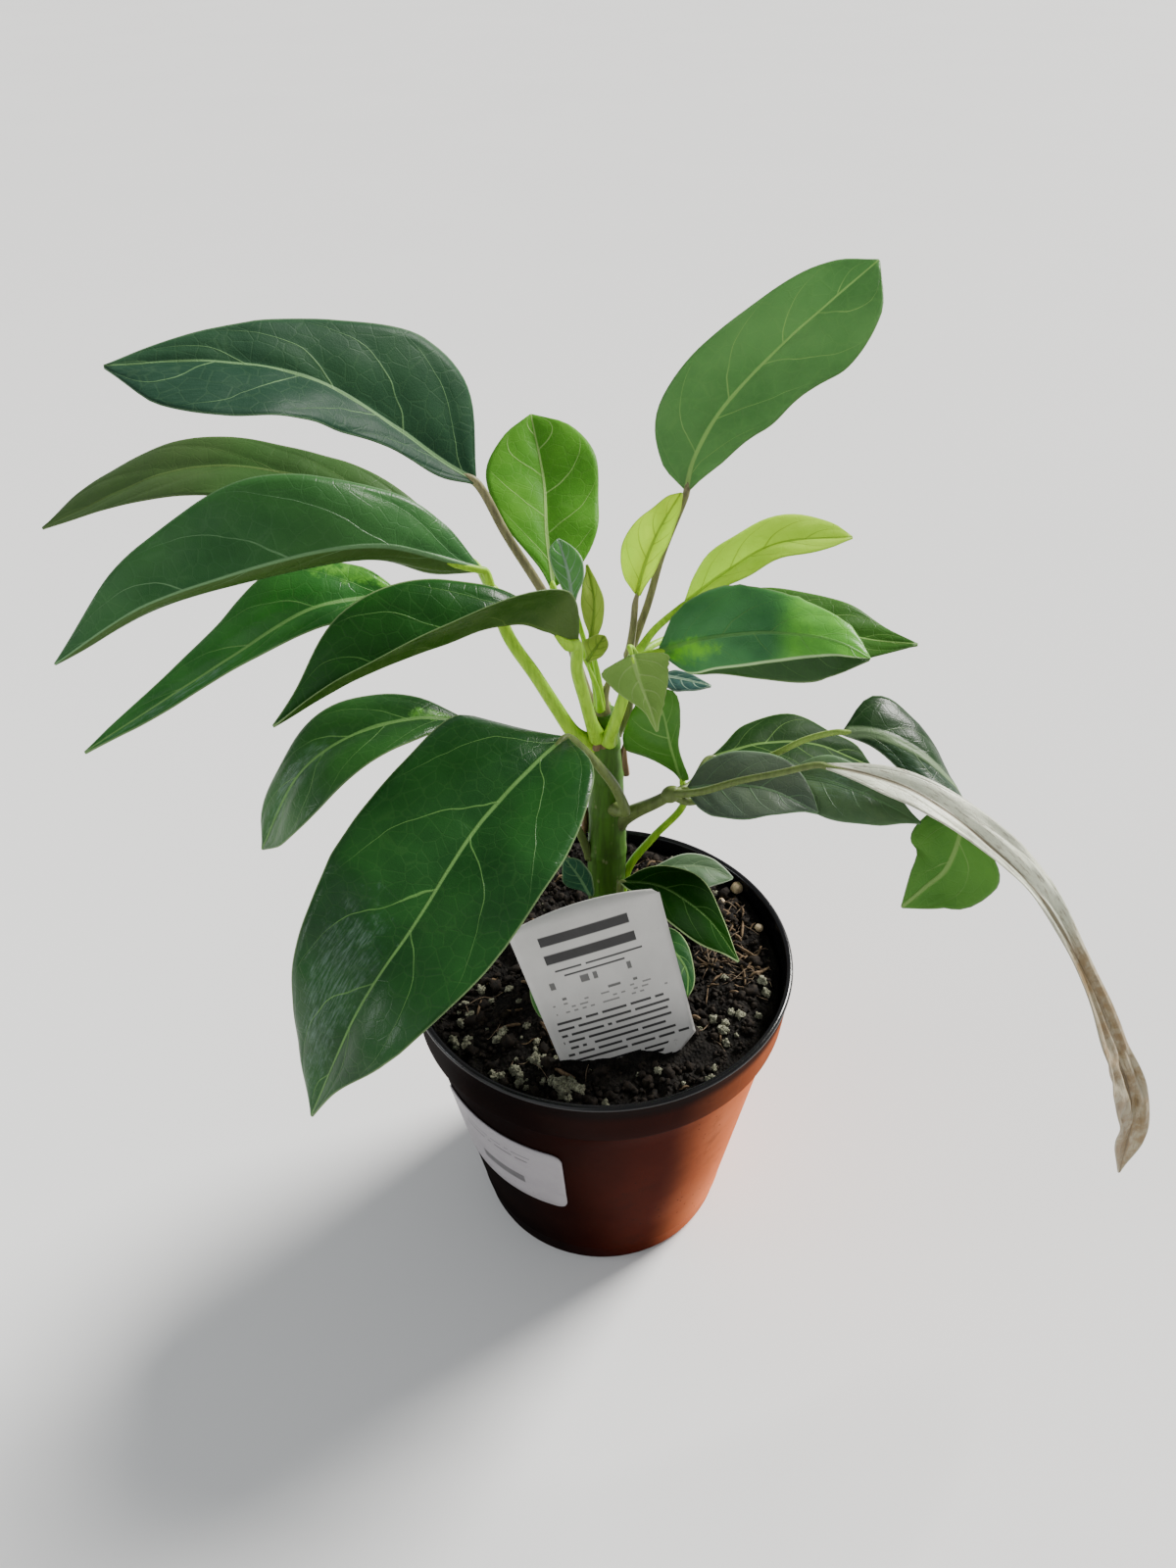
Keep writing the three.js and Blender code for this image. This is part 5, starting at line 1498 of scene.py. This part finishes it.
FLOOR_REACH = 30.0
SUN_FROM = (0.95, 0.72, 0.8)
PLANT_MIDDLE = (0, 0, 0.17)
CAMERA_PLACE = (0, -0.2806, 0.4066)
CAMERA_YAW, CAMERA_PITCH, CAMERA_ROLL = (math.radians(a) for a in (-0.69, 37.93, -0.86))


def add_light(name, kind, way, energy, tint):
    """A lamp that shines along a way."""
    lamp = bpy.data.lights.new(name, kind)
    lamp.energy = energy
    lamp.color = tint
    light = add_object(name, lamp)
    light.rotation_euler = Vector(way).to_track_quat("-Z", "Y").to_euler()
    return light


def make_stage():
    mesh = bpy.data.meshes.new("floor")
    corners = [(x * FLOOR_REACH, y * FLOOR_REACH, 0) for x, y in ((-1, -1), (1, -1), (1, 1), (-1, 1))]
    mesh.from_pydata(corners, [], [(0, 1, 2, 3)])
    material, w, shader = make_material("pale_floor", {"Roughness": 0.85})
    clouds = w.noise(w.here(), 3.0, 3.0)
    w.put(shader.inputs["Base Color"], w.mix(clouds, (0.70, 0.70, 0.70), (0.74, 0.74, 0.735)))
    mesh.materials.append(material)
    floor = add_object("floor", mesh)

    world = bpy.data.worlds.new("studio")
    world.use_nodes = True
    sky = world.node_tree.nodes["Background"]
    sky.inputs["Color"].default_value = (0.95, 0.975, 1.0, 1)
    sky.inputs["Strength"].default_value = 0.42
    bpy.context.scene.world = world
    sun = add_light("window_light", "SUN", -Vector(SUN_FROM), 9.5, (1.0, 0.98, 0.94))
    sun.data.angle = math.radians(22)
    for name, place, size, energy, tint in (
        ("front_fill", (-0.7, -0.9, 0.8), 1.2, 5, (0.96, 0.98, 1.0)),
        ("left_gleam", (-1.1, -0.15, 0.5), 0.3, 2.5, (0.94, 0.97, 1.0)),
    ):
        light = add_light(name, "AREA", Vector(PLANT_MIDDLE) - Vector(place), energy, tint)
        light.data.size = size
        light.location = place


def place_camera():
    """The photograph's camera: its place, its way ahead and its slight roll."""
    flat = math.cos(CAMERA_PITCH)
    ahead = Vector((math.sin(CAMERA_YAW) * flat, math.cos(CAMERA_YAW) * flat, -math.sin(CAMERA_PITCH)))
    right = ahead.cross(Vector((0, 0, 1))).normalized()
    above = right.cross(ahead)
    rolled = right * math.cos(CAMERA_ROLL) + above * math.sin(CAMERA_ROLL)
    upright = above * math.cos(CAMERA_ROLL) - right * math.sin(CAMERA_ROLL)
    lens = bpy.data.cameras.new("camera")
    lens.lens = 27.0
    lens.sensor_width = 36.0
    camera = add_object("camera", lens)
    turned = Matrix((rolled, upright, -ahead)).transposed().to_4x4()
    camera.matrix_world = Matrix.Translation(CAMERA_PLACE) @ turned
    bpy.context.scene.camera = camera


# ---------------------------------------------------------------- the whole plant


def make_plant():
    leaf_group = build_leaf_group(build_vein_group())
    stalk_group = build_stalk_group()
    bars_group = build_print_group()
    paints = {skin: stalk_material(skin, stalk_group) for skin in STALK_SKINS}
    slots = {part["node"]: part["material_slot"] for part in frame["record"]["subparts"]}
    make_pot(build_wear_group())
    make_soil()
    make_soil_bits()
    make_label(bars_group)
    make_sticker(bars_group)
    make_stem(paints)
    make_shoot(leaf_group, paints)
    blades = {}
    for seed, (name, leaf) in enumerate(LEAVES.items()):
        blades[name] = make_blade(name, leaf, seed, leaf_group, slots[name], name)
        if leaf.stalk:
            make_leaf_stalk(name, leaf, blades[name], paints)
    for name, stalk in STALKS.items():
        make_jointed_stalk(name, stalk, blades, paints)


make_stage()
place_camera()
make_plant()
